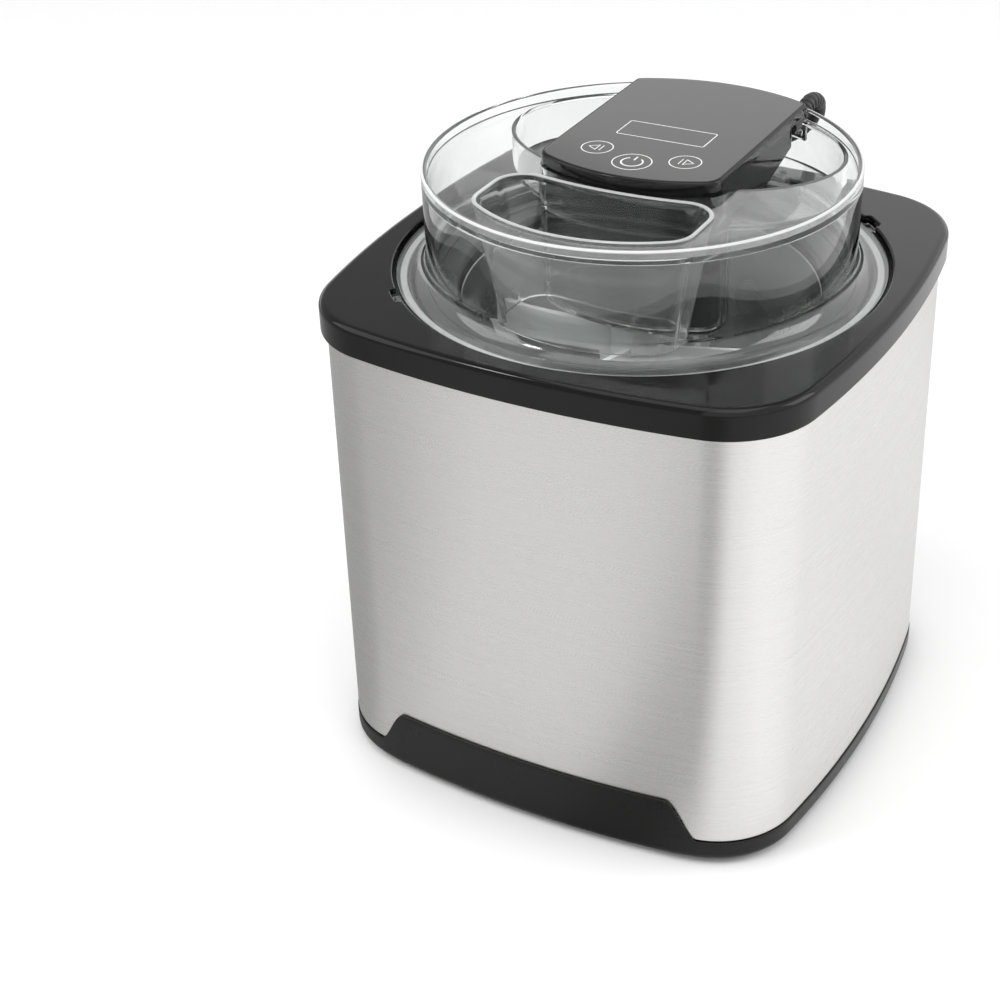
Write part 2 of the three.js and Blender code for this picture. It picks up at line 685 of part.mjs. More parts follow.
function footPlaces() {
  return [[-1, -1], [1, -1], [-1, 1], [1, 1]].map(([i, j]) => [
    i * (deckHalf - FOOT_SIDE_MARGIN),
    j * (deckHalf - FOOT_END_MARGIN),
  ]);
}

function rubberFoot() {
  const disc = post(FOOT_RADIUS - 1, 0, FOOT_HEIGHT - GAP, 0, 0, 20, FOOT_RADIUS);
  const peg = post(FOOT_PEG, FOOT_HEIGHT - GAP - 0.5, FOOT_HEIGHT + BASE_FLOOR, 0, 0, 12);
  return disc.add(peg);
}

function innerTub() {
  const outerRadius = tubBore + TUB_WALL;
  const cup = turned([
    [0, tubBottom],
    [outerRadius, tubBottom],
    [outerRadius, tubTop - TUB_FLANGE],
    [flangeRadius + FLANGE_SPREAD, tubTop - TUB_FLANGE],
    [flangeRadius + FLANGE_SPREAD, tubTop],
    [tubBore, tubTop],
    [tubBore, tubFloor],
    [0, tubFloor],
  ]);
  let tub = cup;
  for (const [x, y] of diagonals(postPlace)) {
    tub = tub.add(post(POST_RADIUS, baseBottom + BASE_FLOOR + GAP, tubTop - 0.5, x, y, 16));
  }
  for (const angle of [45, 135, 225, 315]) {
    const inner = flangeRadius;
    const outer = earPlace + EAR_END;
    const corners = [
      [inner, -EAR_WIDTH / 2],
      [outer, -EAR_WIDTH / 2],
      [outer, EAR_WIDTH / 2],
      [inner, EAR_WIDTH / 2],
    ].map(([u, v]) => spin(u, v, degrees(angle)));
    tub = tub.add(prism(corners, tubTop - TUB_FLANGE, tubTop));
  }
  for (const [x, y] of diagonals(postPlace)) {
    tub = tub.subtract(post(SCREW_SHANK + GAP, baseBottom, baseScrewSeat + BASE_SCREW_LENGTH + 1, x, y, 16));
  }
  for (const [x, y] of diagonals(earPlace)) {
    tub = tub.subtract(post(SCREW_SHANK + GAP, tubTop - TUB_FLANGE - 1, tubTop + 1, x, y, 16));
  }
  return tub;
}

/** A screw that points up, with the top of its head at z = 0. */
function screw(length) {
  const head = post(SCREW_HEAD, -SCREW_HEAD_HEIGHT, 0, 0, 0, 12);
  return head.add(post(SCREW_SHANK, -0.5, length, 0, 0, 8));
}

piece('base_tray', baseTray(), plastic(BLACK, 0.35));
footPlaces().forEach(([x, y], i) => {
  piece(`rubber_foot_${i + 1}`, rubberFoot(), plastic(0x2a2a2a, 0.9), [x, y, 0]);
});
piece('steel_shell', steelShell(), metal(0xc9c9c6, 0.35));
piece('inner_tub', innerTub(), plastic(0x1d1d1c, 0.6));
piece('top_deck', topDeck(), plastic(BLACK, 0.15));
diagonals(postPlace).forEach(([x, y], i) => {
  piece(`base_screw_${i + 1}`, screw(BASE_SCREW_LENGTH), metal(0x8d8d8d), [x, y, baseScrewSeat]);
});
diagonals(earPlace).forEach(([x, y], i) => {
  piece(`deck_screw_${i + 1}`, screw(DECK_SCREW_LENGTH), metal(0x8d8d8d), [x, y, tubTop - TUB_FLANGE - GAP]);
});

// ---------------------------------------------------------------- canister and dasher

// A 45 degree chamfer's ends move by this share of an inset.
const CHAMFER_SHARE = Math.tan(Math.PI / 8);

/** The canister's outline drawn `inset` inside its outer face, from the axis up to `top`. */
function canisterProfile(inset, top) {
  const foot = canisterRadius - CANISTER_DRAFT;
  const low = canisterBottom + CANISTER_CHAMFER;
  const radiusAt = (z) => foot + (CANISTER_DRAFT * (z - low)) / (bowlTop - low);
  return [
    [0, canisterBottom + inset],
    [foot - CANISTER_CHAMFER - inset * CHAMFER_SHARE, canisterBottom + inset],
    [foot - inset, low + inset * CHAMFER_SHARE],
    [radiusAt(top) - inset, top],
  ];
}

function canisterOuter() {
  return turned([...canisterProfile(0, bowlTop), ...canisterProfile(CANISTER_WALL, bowlTop).reverse()]);
}

/** Bowl profile grown by `grow`: straight tapered wall, round bottom edge. */
function bowlProfile(grow, floorDrop, top) {
  const foot = BOWL_BORE - BOWL_DRAFT;
  const round = arc(foot - BOWL_FILLET, bowlFloor + BOWL_FILLET, BOWL_FILLET + grow, -Math.PI / 2, 0, 4);
  return [[0, bowlFloor - floorDrop], ...round, [BOWL_BORE + grow, top]];
}

function canisterBowl() {
  const lip = canisterRadius - CANISTER_WALL - 2 * GAP;
  const lipUnder = bowlTop - BOWL_WALL;
  const outside = bowlProfile(BOWL_WALL, BOWL_WALL, lipUnder);
  const inside = bowlProfile(0, 0, bowlTop).reverse();
  const bowl = turned([...outside, [lip, lipUnder], [lip, bowlTop], ...inside]);
  const pivotTip = PIVOT_RADIUS - PIVOT_TAPER;
  return bowl.add(post(PIVOT_RADIUS, bowlFloor - 0.5, bowlFloor + PIVOT_HEIGHT, 0, 0, 16, pivotTip));
}

function coolantGel() {
  const top = bowlTop - BOWL_WALL - GEL_AIR_SPACE;
  return turned([
    ...canisterProfile(CANISTER_WALL + GAP, top),
    ...bowlProfile(BOWL_WALL + GAP, BOWL_WALL + GAP, top).reverse(),
  ]);
}

function canisterRim() {
  return turned([
    [BOWL_BORE + RIM_RING_SHY, ringUnder],
    [rimRingRadius, ringUnder],
    [rimRingRadius, ringTop - RIM_RING_EDGE],
    [rimRingRadius - RIM_RING_EDGE, ringTop],
    [BOWL_BORE + RIM_RING_SHY + RIM_RING_SLOPE, ringTop],
    [BOWL_BORE + RIM_RING_SHY, ringTop - RIM_RING_SLOPE],
  ]);
}

const dasherBottom = bowlFloor + DASHER_FLOOR_GAP;
const wingTop = housingBottom - WING_BELOW_HOUSING;
const socketFoot = wingTop - SOCKET_DEPTH;
const dasherHubTop = socketFoot - 2 * RUNNING_FIT;

function dasher() {
  const tip = BOWL_BORE - BOWL_DRAFT - DASHER_TIP_GAP;
  const bladeTop = dasherHubTop - DASHER_HUB / 2;
  const armLow = dasherBottom;
  let shape = union(
    post(DASHER_COLUMN, armLow, dasherHubTop, 0, 0, 32),
    post(DASHER_HUB, dasherHubTop - DASHER_HUB, dasherHubTop, 0, 0, 32),
  );
  for (let arm = 0; arm < DASHER_ARMS; arm += 1) {
    const plate = block(2, tip, -DASHER_BLADE / 2, DASHER_BLADE / 2, armLow, bladeTop);
    const window = block(
      DASHER_COLUMN + DASHER_FRAME,
      tip - DASHER_FRAME,
      -DASHER_BLADE,
      DASHER_BLADE,
      armLow + DASHER_FOOT_FRAME,
      bladeTop - DASHER_FRAME,
    );
    const corner = turned([
      ...bowlProfile(-DASHER_TIP_GAP, -DASHER_FLOOR_GAP, bladeTop + 1),
      [0, bladeTop + 1],
    ]);
    const turn = [0, 0, (360 / DASHER_ARMS) * arm];
    shape = shape.add(plate.subtract(window).intersect(corner).rotate(turn));
  }
  const pivot = post(PIVOT_RADIUS + RUNNING_FIT, armLow - 1, bowlFloor + PIVOT_HEIGHT + 1, 0, 0, 24);
  const wings = [0, Math.PI].map((angle) => (
    prism(sector(SOCKET_BORE - RUNNING_FIT, angle, DOG_WIDTH), dasherHubTop - 1, wingTop)
  ));
  const stub = post(DOG_CORE, dasherHubTop - 1, wingTop, 0, 0, 24);
  return union(shape.subtract(pivot), stub, ...wings);
}

piece('canister_outer', canisterOuter(), plastic(0xd8dadb, 0.5));
piece('canister_bowl', canisterBowl(), metal(0xc4c6c8, 0.3));
piece('coolant_gel', coolantGel(), plastic(0x9fc4dc, 0.6));
piece('canister_rim', canisterRim(), plastic(0x252524, 0.5));
piece('dasher', dasher(), plastic(0xe4e6e6, 0.35));

// ---------------------------------------------------------------- lid

function lidGasket() {
  const outer = flangeRadius - GASKET_INSET;
  return ring(outer - GASKET_WIDTH, outer, tubTop + GAP, flangeUnder - GAP);
}

function wellOutline(grow) {
  return arc(0, WELL_CENTRE_Y, 1, 0, 2 * Math.PI, 44).slice(0, -1).map(([x, y]) => [
    x * (wellHalfWidth + grow),
    WELL_CENTRE_Y + (y - WELL_CENTRE_Y) * (wellHalfDepth + grow),
  ]);
}

/** The plan of the head's lower housing, a column behind a wide front block, between two heights. */
function lowerHousing(grow, z0, z1) {
  return prism(headPlan(COLUMN, grow), z0, z1).add(prism(headPlan(FRONT_BLOCK, grow), z0, z1));
}

/** The well's plan, an oval that is widened in front, between two heights. */
function wellPrism(grow, z0, z1) {
  return prism(wellOutline(grow), z0, z1).add(prism(headPlan(WELL_FRONT, WELL_CLEARANCE + grow), z0, z1));
}

/** Space for the cord where it leaves the head, open upwards and through the drum. */
function cordSlot(grow) {
  const half = RELIEF_ROOT_RADIUS + CORD_SLOT_CLEARANCE + grow;
  const floor = CORD_EXIT_HEIGHT - RELIEF_ROOT_RADIUS - CORD_SLOT_CLEARANCE - grow;
  return block(CORD_EXIT_X - half, CORD_EXIT_X + half, WELL_CENTRE_Y, drumRadius + 1, floor, rimTop + 1);
}

function clearLid() {
  const inner = drumRadius - LID_WALL;
  const foot = drumRadius - DRUM_DRAFT;
  const filletCentre = [foot + DRUM_FILLET, flangeTop + DRUM_FILLET];
  const outerFillet = arc(...filletCentre, DRUM_FILLET, -Math.PI / 2, -Math.PI, 4);
  const innerFillet = arc(...filletCentre, DRUM_FILLET + FLANGE_THICKNESS, -Math.PI, -Math.PI / 2, 4);
  const drum = turned([
    [flangeRadius, flangeUnder],
    [flangeRadius, flangeTop],
    ...outerFillet,
    [drumRadius, rimTop - RIM_EDGE],
    [drumRadius - RIM_EDGE, rimTop],
    [drumRadius - RIM_WIDTH + RIM_EDGE, rimTop],
    [drumRadius - RIM_WIDTH, rimTop - RIM_EDGE],
    [drumRadius - RIM_WIDTH, plateTop + RIM_EDGE],
    [drumRadius - RIM_WIDTH - RIM_EDGE, plateTop],
    [0, plateTop],
    [0, plateUnder],
    [inner, plateUnder],
    ...innerFillet,
  ]);
  const lip = loft([
    [chutePlan(LID_WALL), plateUnder],
    [chutePlan(LID_WALL), plateTop + CHUTE_LIP],
  ]);
  const within = post(drumRadius - LID_WALL / 2, cupFloor, plateTop, 0, 0, SEGMENTS);
  const besideWell = wellPrism(LID_WALL + GAP, wellFloor - LID_WALL, plateUnder);
  const channel = cordSlot(LID_WALL).intersect(within).subtract(besideWell);
  let lid = union(drum, lip, channel).subtract(chuteHollow()).subtract(cordSlot(0));
  lid = lid.subtract(wellPrism(0, plateUnder - 1, plateTop + 1));
  for (const side of [0, 1]) {
    const angle = Math.PI / 4 + side * Math.PI;
    const corners = [
      [flangeRadius - TAB_REACH, -TAB_WIDTH / 2],
      [flangeRadius + TAB_REACH, -TAB_WIDTH / 2],
      [flangeRadius + TAB_REACH, TAB_WIDTH / 2],
      [flangeRadius - TAB_REACH, TAB_WIDTH / 2],
    ].map(([u, v]) => spin(u, v, angle));
    lid = lid.add(prism(corners, flangeUnder, flangeUnder + TAB_THICKNESS));
  }
  return lid;
}

const chuteBottom = plateTop - CHUTE_DEPTH;

function chuteHollow() {
  return loft([
    [chutePlan(0, CHUTE_SIDE_TAPER * 1.02, CHUTE_FRONT_TAPER * 1.02), chuteBottom - 1],
    [chutePlan(0), plateTop],
    [chutePlan(0), plateTop + CHUTE_LIP + 1],
  ]);
}

/** What lies below the lid's top plate, with the gap that touching pieces keep. */
function belowPlate(shape) {
  return shape.trimByPlane([0, 0, -1], GAP - plateUnder);
}

/** The chute's walls below the top plate. */
function lidChute() {
  const outer = loft([
    [chutePlan(LID_WALL, CHUTE_SIDE_TAPER, CHUTE_FRONT_TAPER), chuteBottom],
    [chutePlan(LID_WALL), plateTop],
  ]);
  return belowPlate(outer.subtract(chuteHollow()));
}

/** Walls and floor of the well below the top plate, with the deeper cup that holds the head. */
function lidWell() {
  const drumRoom = turned([
    [0, flangeTop + DRUM_FILLET],
    [drumRadius - DRUM_DRAFT - FLANGE_THICKNESS - GAP, flangeTop + DRUM_FILLET],
    [drumRadius - LID_WALL - GAP, plateUnder],
    [0, plateUnder],
  ]);
  const wellOuter = wellPrism(LID_WALL, wellFloor - LID_WALL, plateTop).intersect(drumRoom);
  const wellInner = wellPrism(0, wellFloor, plateTop + 1);
  const cupOuter = lowerHousing(WELL_CLEARANCE + LID_WALL, cupFloor - LID_WALL, plateTop);
  const cupInner = lowerHousing(WELL_CLEARANCE, cupFloor, plateTop + 1);
  const hole = SOCKET_RADIUS + DRIVE_HOLE_PLAY;
  const driveHole = post(hole, cupFloor - LID_WALL - 1, cupFloor + 1, 0, 0, 32);
  const cup = wellOuter.add(cupOuter).subtract(wellInner).subtract(cupInner);
  return belowPlate(cup.subtract(cordSlot(0)).subtract(driveHole));
}

piece('lid_gasket', lidGasket(), plastic(0xb9bbbb, 0.7));
const clearPlastic = { ...plastic(0xe9eef0, 0.05), transparent: true, opacity: 0.35 };
piece('clear_lid', clearLid(), clearPlastic);
piece('lid_chute', lidChute(), clearPlastic);
piece('lid_well', lidWell(), clearPlastic);

// ---------------------------------------------------------------- motor head

const upperFoot = wellFloor + WELL_CLEARANCE;

/** The housing's outside, grown inwards for its hollow. */
function housingForm(inset, top) {
  const slopeFoot = upperFoot + inset;
  const upper = prism(headPlan(UPPER_HOUSING, -inset), slopeFoot, top);
  const wedge = new THREE.ExtrudeGeometry(
    new THREE.Shape([
      [columnBack - inset, slopeFoot - 1],
      [drumRadius, slopeFoot - 1],
      [drumRadius, slopeFoot + HOUSING_SLOPE_RISE],
      [columnBack - inset, slopeFoot],
    ].map(([y, z]) => new THREE.Vector2(y, z))),
    { depth: 2 * deckHalf, bevelEnabled: false, steps: 1 },
  );
  // The wedge is drawn in (y, z) and extruded along x.
  wedge.applyMatrix4(new THREE.Matrix4().set(0, 0, 1, -deckHalf, 1, 0, 0, 0, 0, 1, 0, 0, 0, 0, 0, 1));
  const lower = lowerHousing(-inset, housingBottom + inset, slopeFoot + 2);
  return union(upper.subtract(solid(wedge)), lower);
}

const screwX = housingHalf - SCREW_SIDE_MARGIN;
const screwPlaces = [-screwX, screwX].flatMap((x) => [[x, SCREW_FRONT_Y], [x, SCREW_BACK_Y]]);
const postTop = coverUnder - HEAD_POST_DROP;
const headScrewSeat = postTop - HEAD_SCREW_SINK;

function headHousing() {
  const outside = housingForm(0, housingTop);
  const inside = housingForm(HOUSING_WALL, housingTop + 1);
  let housing = outside.subtract(inside);
  for (const [x, y] of screwPlaces) {
    housing = housing.add(post(HEAD_POST_RADIUS + GAP, upperFoot, postTop, x, y, 16));
    const bore = post(SCREW_SHANK + GAP, upperFoot - 1, postTop + 1, x, y, 12);
    const sink = post(SCREW_HEAD + GAP, upperFoot - 1, headScrewSeat, x, y, 16);
    housing = housing.subtract(bore).subtract(sink);
  }
  const bushRadius = SPINDLE_RADIUS + RUNNING_FIT + BUSH_WALL;
  const bushBore = post(bushRadius + GAP, housingBottom - 1, housingFloor + 1, 0, 0, 32);
  return housing.subtract(bushBore).subtract(reliefPassage());
}

/** Room for the strain relief's root, along Y. */
function reliefPassage() {
  const radius = RELIEF_ROOT_RADIUS + GAP;
  const geometry = new THREE.CylinderGeometry(radius, radius, 2 * PASSAGE_REACH, 16);
  return solid(geometry.translate(CORD_EXIT_X, housingRearRadius, CORD_EXIT_HEIGHT));
}

const overlayTop = coverTop;
const overlayUnder = overlayTop - OVERLAY_THICKNESS;
const keyTop = overlayUnder - GAP;
const keys = [
  ['key_left', -KEY_SPREAD, 0, SIDE_KEY_RADIUS],
  ['key_power', 0, POWER_KEY_SET_BACK, POWER_KEY_RADIUS],
  ['key_right', KEY_SPREAD, 0, SIDE_KEY_RADIUS],
];
const boardTop = coverUnder - BOARD_DROP;

function headCover() {
  const edge = [0, 45, 90].map((angle) => {
    const a = degrees(angle);
    return [headPlan(COVER, -COVER_EDGE * (1 - Math.cos(a))), coverTop - COVER_EDGE * (1 - Math.sin(a))];
  });
  let cover = loft([
    [headPlan(COVER, -COVER_CHAMFER), coverUnder],
    [headPlan(COVER), coverUnder + COVER_CHAMFER],
    ...edge,
  ]);
  const beadInner = drumRadius - RIM_WIDTH - COVER_RIM_PLAY;
  cover = cover.subtract(ring(beadInner, flangeRadius, coverUnder - 1, rimTop + GAP));
  cover = cover.subtract(prism(headPlan(COVER, -OVERLAY_MARGIN + GAP), overlayUnder - GAP, coverTop + 1));
  const hollow = headPlan(UPPER_HOUSING, -HOUSING_WALL - COVER_LEDGE);
  cover = cover.subtract(prism(hollow, coverUnder - 1, overlayUnder - COVER_SKIN));
  for (const [, x, y, radius] of keys) {
    cover = cover.subtract(post(radius + RUNNING_FIT, coverUnder - 1, coverTop, x, y, 32));
  }
  const [w, d] = [LCD_WIDTH / 2 + GAP, LCD_DEPTH / 2 + GAP];
  cover = cover.subtract(block(-w, w, LCD_CENTRE_Y - d, LCD_CENTRE_Y + d, coverUnder - 1, coverTop));
  for (const [x, y] of screwPlaces) {
    cover = cover.add(post(HEAD_POST_RADIUS, postTop + GAP, overlayUnder - COVER_SKIN + 0.5, x, y, 16));
    cover = cover.subtract(post(SCREW_SHANK + GAP, postTop, postTop + HEAD_SCREW_BITE, x, y, 12));
  }
  return cover.subtract(reliefPassage());
}

function controlOverlay() {
  return prism(headPlan(COVER, -OVERLAY_MARGIN), overlayUnder, overlayTop);
}

function lcdModule() {
  const [w, d] = [LCD_WIDTH / 2, LCD_DEPTH / 2];
  const top = overlayUnder - GAP;
  return block(-w, w, LCD_CENTRE_Y - d, LCD_CENTRE_Y + d, top - LCD_THICKNESS, top);
}

const switchTop = keyTop - KEY_THICKNESS - KEY_TRAVEL - KEY_SLACK;

function controlBoard() {
  const edge = [
    [-BOARD_HALF_WIDTH, BOARD_FRONT + BOARD_CORNER],
    [-BOARD_HALF_WIDTH + BOARD_CORNER, BOARD_FRONT],
    [BOARD_HALF_WIDTH - BOARD_CORNER, BOARD_FRONT],
    [BOARD_HALF_WIDTH, BOARD_FRONT + BOARD_CORNER],
    [BOARD_HALF_WIDTH, BOARD_BACK],
    [-BOARD_HALF_WIDTH, BOARD_BACK],
  ];
  let board = prism(edge, boardTop - BOARD_THICKNESS, boardTop);
  const half = SWITCH_SIZE / 2;
  for (const [, x, y] of keys) {
    board = board.add(block(x - half, x + half, y - half, y + half, boardTop - 0.5, switchTop));
  }
  for (const [x, y] of screwPlaces) {
    board = board.subtract(post(BOARD_POST_ROOM, boardTop - BOARD_THICKNESS - 1, boardTop + 1, x, y, 16));
  }
  return board;
}

function keyCap(radius) {
  const foot = keyTop - KEY_THICKNESS;
  const cap = post(radius, foot + KEY_SKIRT, keyTop, 0, 0, 28);
  return cap.add(post(KEY_STEM_RADIUS, foot, foot + KEY_SKIRT + 0.2, 0, 0, 10));
}

piece('head_housing', headHousing(), plastic(BLACK, 0.2));
piece('head_cover', headCover(), plastic(BLACK, 0.15));
piece('control_overlay', controlOverlay(), plastic(0x1b1b1b, 0.1));
piece('lcd_module', lcdModule(), plastic(0x20241f, 0.3));
piece('control_board', controlBoard(), plastic(0x1e5b34, 0.6));
for (const [name, x, y, radius] of keys) piece(name, keyCap(radius), plastic(0x2c2c2c, 0.6), [x, y, 0]);
screwPlaces.forEach(([x, y], i) => {
  piece(`head_screw_${i + 1}`, screw(HEAD_SCREW_LENGTH), metal(0x8d8d8d), [x, y, headScrewSeat - GAP]);
});

// Gear train, from the drive axis to the motor axis.
const pairDistance = (GEAR_MODULE * (PINION_TEETH + WHEEL_TEETH)) / 2;
const idlerX = Math.sqrt(pairDistance ** 2 - (MOTOR_DISTANCE / 2) ** 2);
const idlerY = MOTOR_DISTANCE / 2;
const toIdler = Math.atan2(idlerY, idlerX);
const toMotor = Math.atan2(MOTOR_DISTANCE - idlerY, -idlerX);
const lowGear = housingFloor + GEAR_FLOOR_GAP;
const highGear = lowGear + GEAR_WIDTH + GEAR_STEP;
const gearPlateUnder = highGear + GEAR_WIDTH + GEAR_PLATE_GAP;
const shaftTop = gearPlateUnder + GEAR_PLATE_THICKNESS - SHAFT_SHY;
const motorUnder = gearPlateUnder + GEAR_PLATE_THICKNESS + GAP;

function outputGear() {
  const wheel = prism(gearOutline(WHEEL_TEETH, toIdler, false), lowGear, lowGear + GEAR_WIDTH);
  const spindle = post(SPINDLE_RADIUS, housingBottom - 0.5, lowGear + 0.5, 0, 0, 32);
  const socket = post(SOCKET_RADIUS, socketFoot, housingBottom - GAP, 0, 0, 32);
  const bore = post(SOCKET_BORE, socketFoot - 1, wingTop + SOCKET_HEADROOM, 0, 0, 32);
  const lugs = [Math.PI / 2, -Math.PI / 2].map((angle) => {
    const wedge = prism(sector(SOCKET_BORE + 0.5, angle, DOG_WIDTH), socketFoot, wingTop);
    return wedge.subtract(post(DOG_CORE + RUNNING_FIT + DOG_PLAY, socketFoot - 1, wingTop + 1, 0, 0, 32));
  });
  const upper = post(SHAFT_RADIUS, lowGear + 1, shaftTop, 0, 0, 20);
  return union(wheel, spindle, socket.subtract(bore), ...lugs, upper);
}

function reductionGear() {
  const outline = gearOutline(PINION_TEETH, toIdler + Math.PI, true);
  const pinion = prism(outline, lowGear - PINION_OVERLAP, highGear + 0.2);
  const wheel = prism(gearOutline(WHEEL_TEETH, toMotor, false), highGear, highGear + GEAR_WIDTH);
  const bore = post(SHAFT_RADIUS + RUNNING_FIT, lowGear - 2, highGear + GEAR_WIDTH + 1, 0, 0, 20);
  return pinion.add(wheel).subtract(bore);
}

function gearPin() {
  return post(SHAFT_RADIUS, housingFloor + GAP, shaftTop, 0, 0, 20);
}

function motorRotor() {
  const outline = gearOutline(PINION_TEETH, toMotor + Math.PI, true);
  const pinion = prism(outline, highGear - PINION_OVERLAP, highGear + GEAR_WIDTH + PINION_OVERLAP);
  const motorTop = motorUnder + MOTOR_HEIGHT;
  const shaft = post(SHAFT_RADIUS, highGear, motorTop - MOTOR_END / 2, 0, 0, 20);
  const reach = MOTOR_RADIUS - MOTOR_WALL - ROTOR_GAP;
  const end = MOTOR_END + ROTOR_GAP;
  const armature = post(reach, motorUnder + end, motorTop - end, 0, 0, 32);
  return union(pinion, shaft, armature);
}

function motorCan() {
  const inner = MOTOR_RADIUS - MOTOR_WALL;
  const bore = SHAFT_RADIUS + RUNNING_FIT;
  return turned([
    [bore, motorUnder],
    [MOTOR_RADIUS, motorUnder],
    [MOTOR_RADIUS, motorUnder + MOTOR_HEIGHT],
    [bore, motorUnder + MOTOR_HEIGHT],
    [bore, motorUnder + MOTOR_HEIGHT - MOTOR_END],
    [inner, motorUnder + MOTOR_HEIGHT - MOTOR_END],
    [inner, motorUnder + MOTOR_END],
    [bore, motorUnder + MOTOR_END],
  ], 32);
}

function gearPlate() {
  const z0 = gearPlateUnder;
  const z1 = gearPlateUnder + GEAR_PLATE_THICKNESS;
  let plate = prism(headPlan(COLUMN, -HOUSING_WALL - GEAR_PLATE_PLAY), z0, z1);
  for (const [x, y] of [[0, 0], [idlerX, idlerY]]) {
    plate = plate.subtract(post(SHAFT_RADIUS + GAP, z0 - 1, z1 + 1, x, y, 16));
  }
  return plate.subtract(post(SHAFT_RADIUS + MOTOR_OPENING, z0 - 1, z1 + 1, 0, MOTOR_DISTANCE, 24));
}

function driveBush() {
  const bore = SPINDLE_RADIUS + RUNNING_FIT;
  const outer = bore + BUSH_WALL;
  return turned([
    [bore, housingBottom],
    [outer, housingBottom],
    [outer, housingFloor + GAP],
    [outer + BUSH_FLANGE, housingFloor + GAP],
    [outer + BUSH_FLANGE, housingFloor + BUSH_FLANGE],
    [bore, housingFloor + BUSH_FLANGE],
  ], 32);
}

piece('output_gear', outputGear(), plastic(0xe8e4d8, 0.5));
piece('reduction_gear', reductionGear(), plastic(0xe8e4d8, 0.5), [idlerX, idlerY, 0]);
piece('gear_pin', gearPin(), metal(0xb0b0b0), [idlerX, idlerY, 0]);
piece('motor_rotor', motorRotor(), metal(0xa8a29a), [0, MOTOR_DISTANCE, 0]);
piece('motor_can', motorCan(), metal(0x9a9a98), [0, MOTOR_DISTANCE, 0]);
piece('gear_plate', gearPlate(), metal(0xa0a0a0));
piece('drive_bush', driveBush(), metal(0xb58a4c));

// ---------------------------------------------------------------- mains cord

// Points on the cord's middle line, chosen by hand: out of the head, over the lid's rim, down
// behind the deck, to the table and up to the coil.
const cordRadius = CORD_DIAMETER / 2;
const cordRoute = [
  [38, 76, 271],
  [38, 84, 271.1],
  [38.2, 91, 273],
  [38.6, 97.5, 274.8],
  [39, 104, 273.4],
  [38.6, 109.8, 268.2],
  [36.2, 113.8, 260.8],
  [30.6, 117.4, 253],
  [22, 120.8, 247],
  [11.8, 124, 242],
  [2.8, 127.2, 236.6],
  [-3.6, 131.2, 228.6],
  [-7.6, 134.4, 217.5],
  [-10, 136, 200],
  [-12, 136.6, 165],
  [-13.4, 136.8, 125],
  [-14.6, 137, 85],
  [-15.8, 138, 50],
  [-16.4, 140.4, 30],
  [-16.8, 146, 14.4],
  [-17.2, 157, 5.6],
  [-17.6, 172, 3.5],
  [-17.9, 190, 3.8],
  [-17.9, 211.9, 4.1],
];

const tailRoute = [
  [-92.1, 211.9, 10.3],
  [-92.2, 200, 10.3],
  [-92.6, 188, 10],
  [-93, 176, 9.7],
  [-93.2, 166, 9.6],
];

function tube(points, radius, sides, steps) {
  const section = new THREE.Shape(arc(0, 0, radius, 0, 2 * Math.PI, sides).slice(0, -1)
    .map(([x, y]) => new THREE.Vector2(x, y)));
  const extrudePath = smooth(points);
  return solid(new THREE.ExtrudeGeometry(section, { steps, extrudePath, bevelEnabled: false }));
}

const smooth = (points) => (
  new THREE.CatmullRomCurve3(points.map((p) => new THREE.Vector3(...p)), false, 'centripetal')
);
const routeCurve = smooth(cordRoute);
const routeLength = routeCurve.getLength();
const coilInner = COIL_TURN_RADIUS - CORD_DIAMETER;
const coilOuter = COIL_TURN_RADIUS + CORD_DIAMETER;
// A cord that joins the coil's outer turn meets the coil's outer face this far before it.
const coilMeet = Math.sqrt((coilOuter + GAP) ** 2 - COIL_TURN_RADIUS ** 2);

/** Points evenly spaced along a curve, between two distances from its start. */
function along(curve, from, to, spacing) {
  const length = curve.getLength();
  const count = Math.max(2, Math.round((to - from) / spacing));
  return Array.from({ length: count + 1 }, (_, i) => (
    curve.getPointAt(Math.min(1, (from + ((to - from) * i) / count) / length)).toArray()
  ));
}

/** Tapered sleeve: round sections set square to the route. */
function strainRelief() {
  const stations = along(routeCurve, 0, RELIEF_LENGTH, 4.5);
  const up = new THREE.Vector3(1, 0, 0);
  const sides = 16;
  const vertices = [];
  stations.forEach((point, i) => {
    const direction = routeCurve.getTangentAt((RELIEF_LENGTH * i) / (stations.length - 1) / routeLength);
    const across = new THREE.Vector3().crossVectors(direction, up).normalize();
    const side = new THREE.Vector3().crossVectors(across, direction).normalize();
    const t = i / (stations.length - 1);
    const radius = RELIEF_ROOT_RADIUS + (RELIEF_TIP_RADIUS - RELIEF_ROOT_RADIUS) * t;
    for (const [c, s] of arc(0, 0, radius, 0, 2 * Math.PI, sides).slice(0, -1)) {
      const centre = new THREE.Vector3(...point);
      vertices.push(centre.addScaledVector(side, c).addScaledVector(across, s).toArray());
    }
  });
  const index = bands(stations.length, sides);
  const lastRing = (stations.length - 1) * sides;
  for (let i = 1; i + 1 < sides; i += 1) index.push(0, i + 1, i, lastRing, lastRing + i, lastRing + i + 1);
  return indexed(vertices.flat(), index);
}

function cordTube() {
  const reach = along(routeCurve, RELIEF_LENGTH + CORD_END_GAP, routeLength - coilMeet, 12);
  return tube(reach, cordRadius, 8, 38);
}

function cordTail() {
  const curve = smooth(tailRoute);
  return tube(along(curve, coilMeet, curve.getLength(), 5), cordRadius, 8, 4);
}

function cordCoil() {
  return ring(coilInner, coilOuter, COIL_LIFT, COIL_LIFT + 2 * CORD_DIAMETER, 36);
}

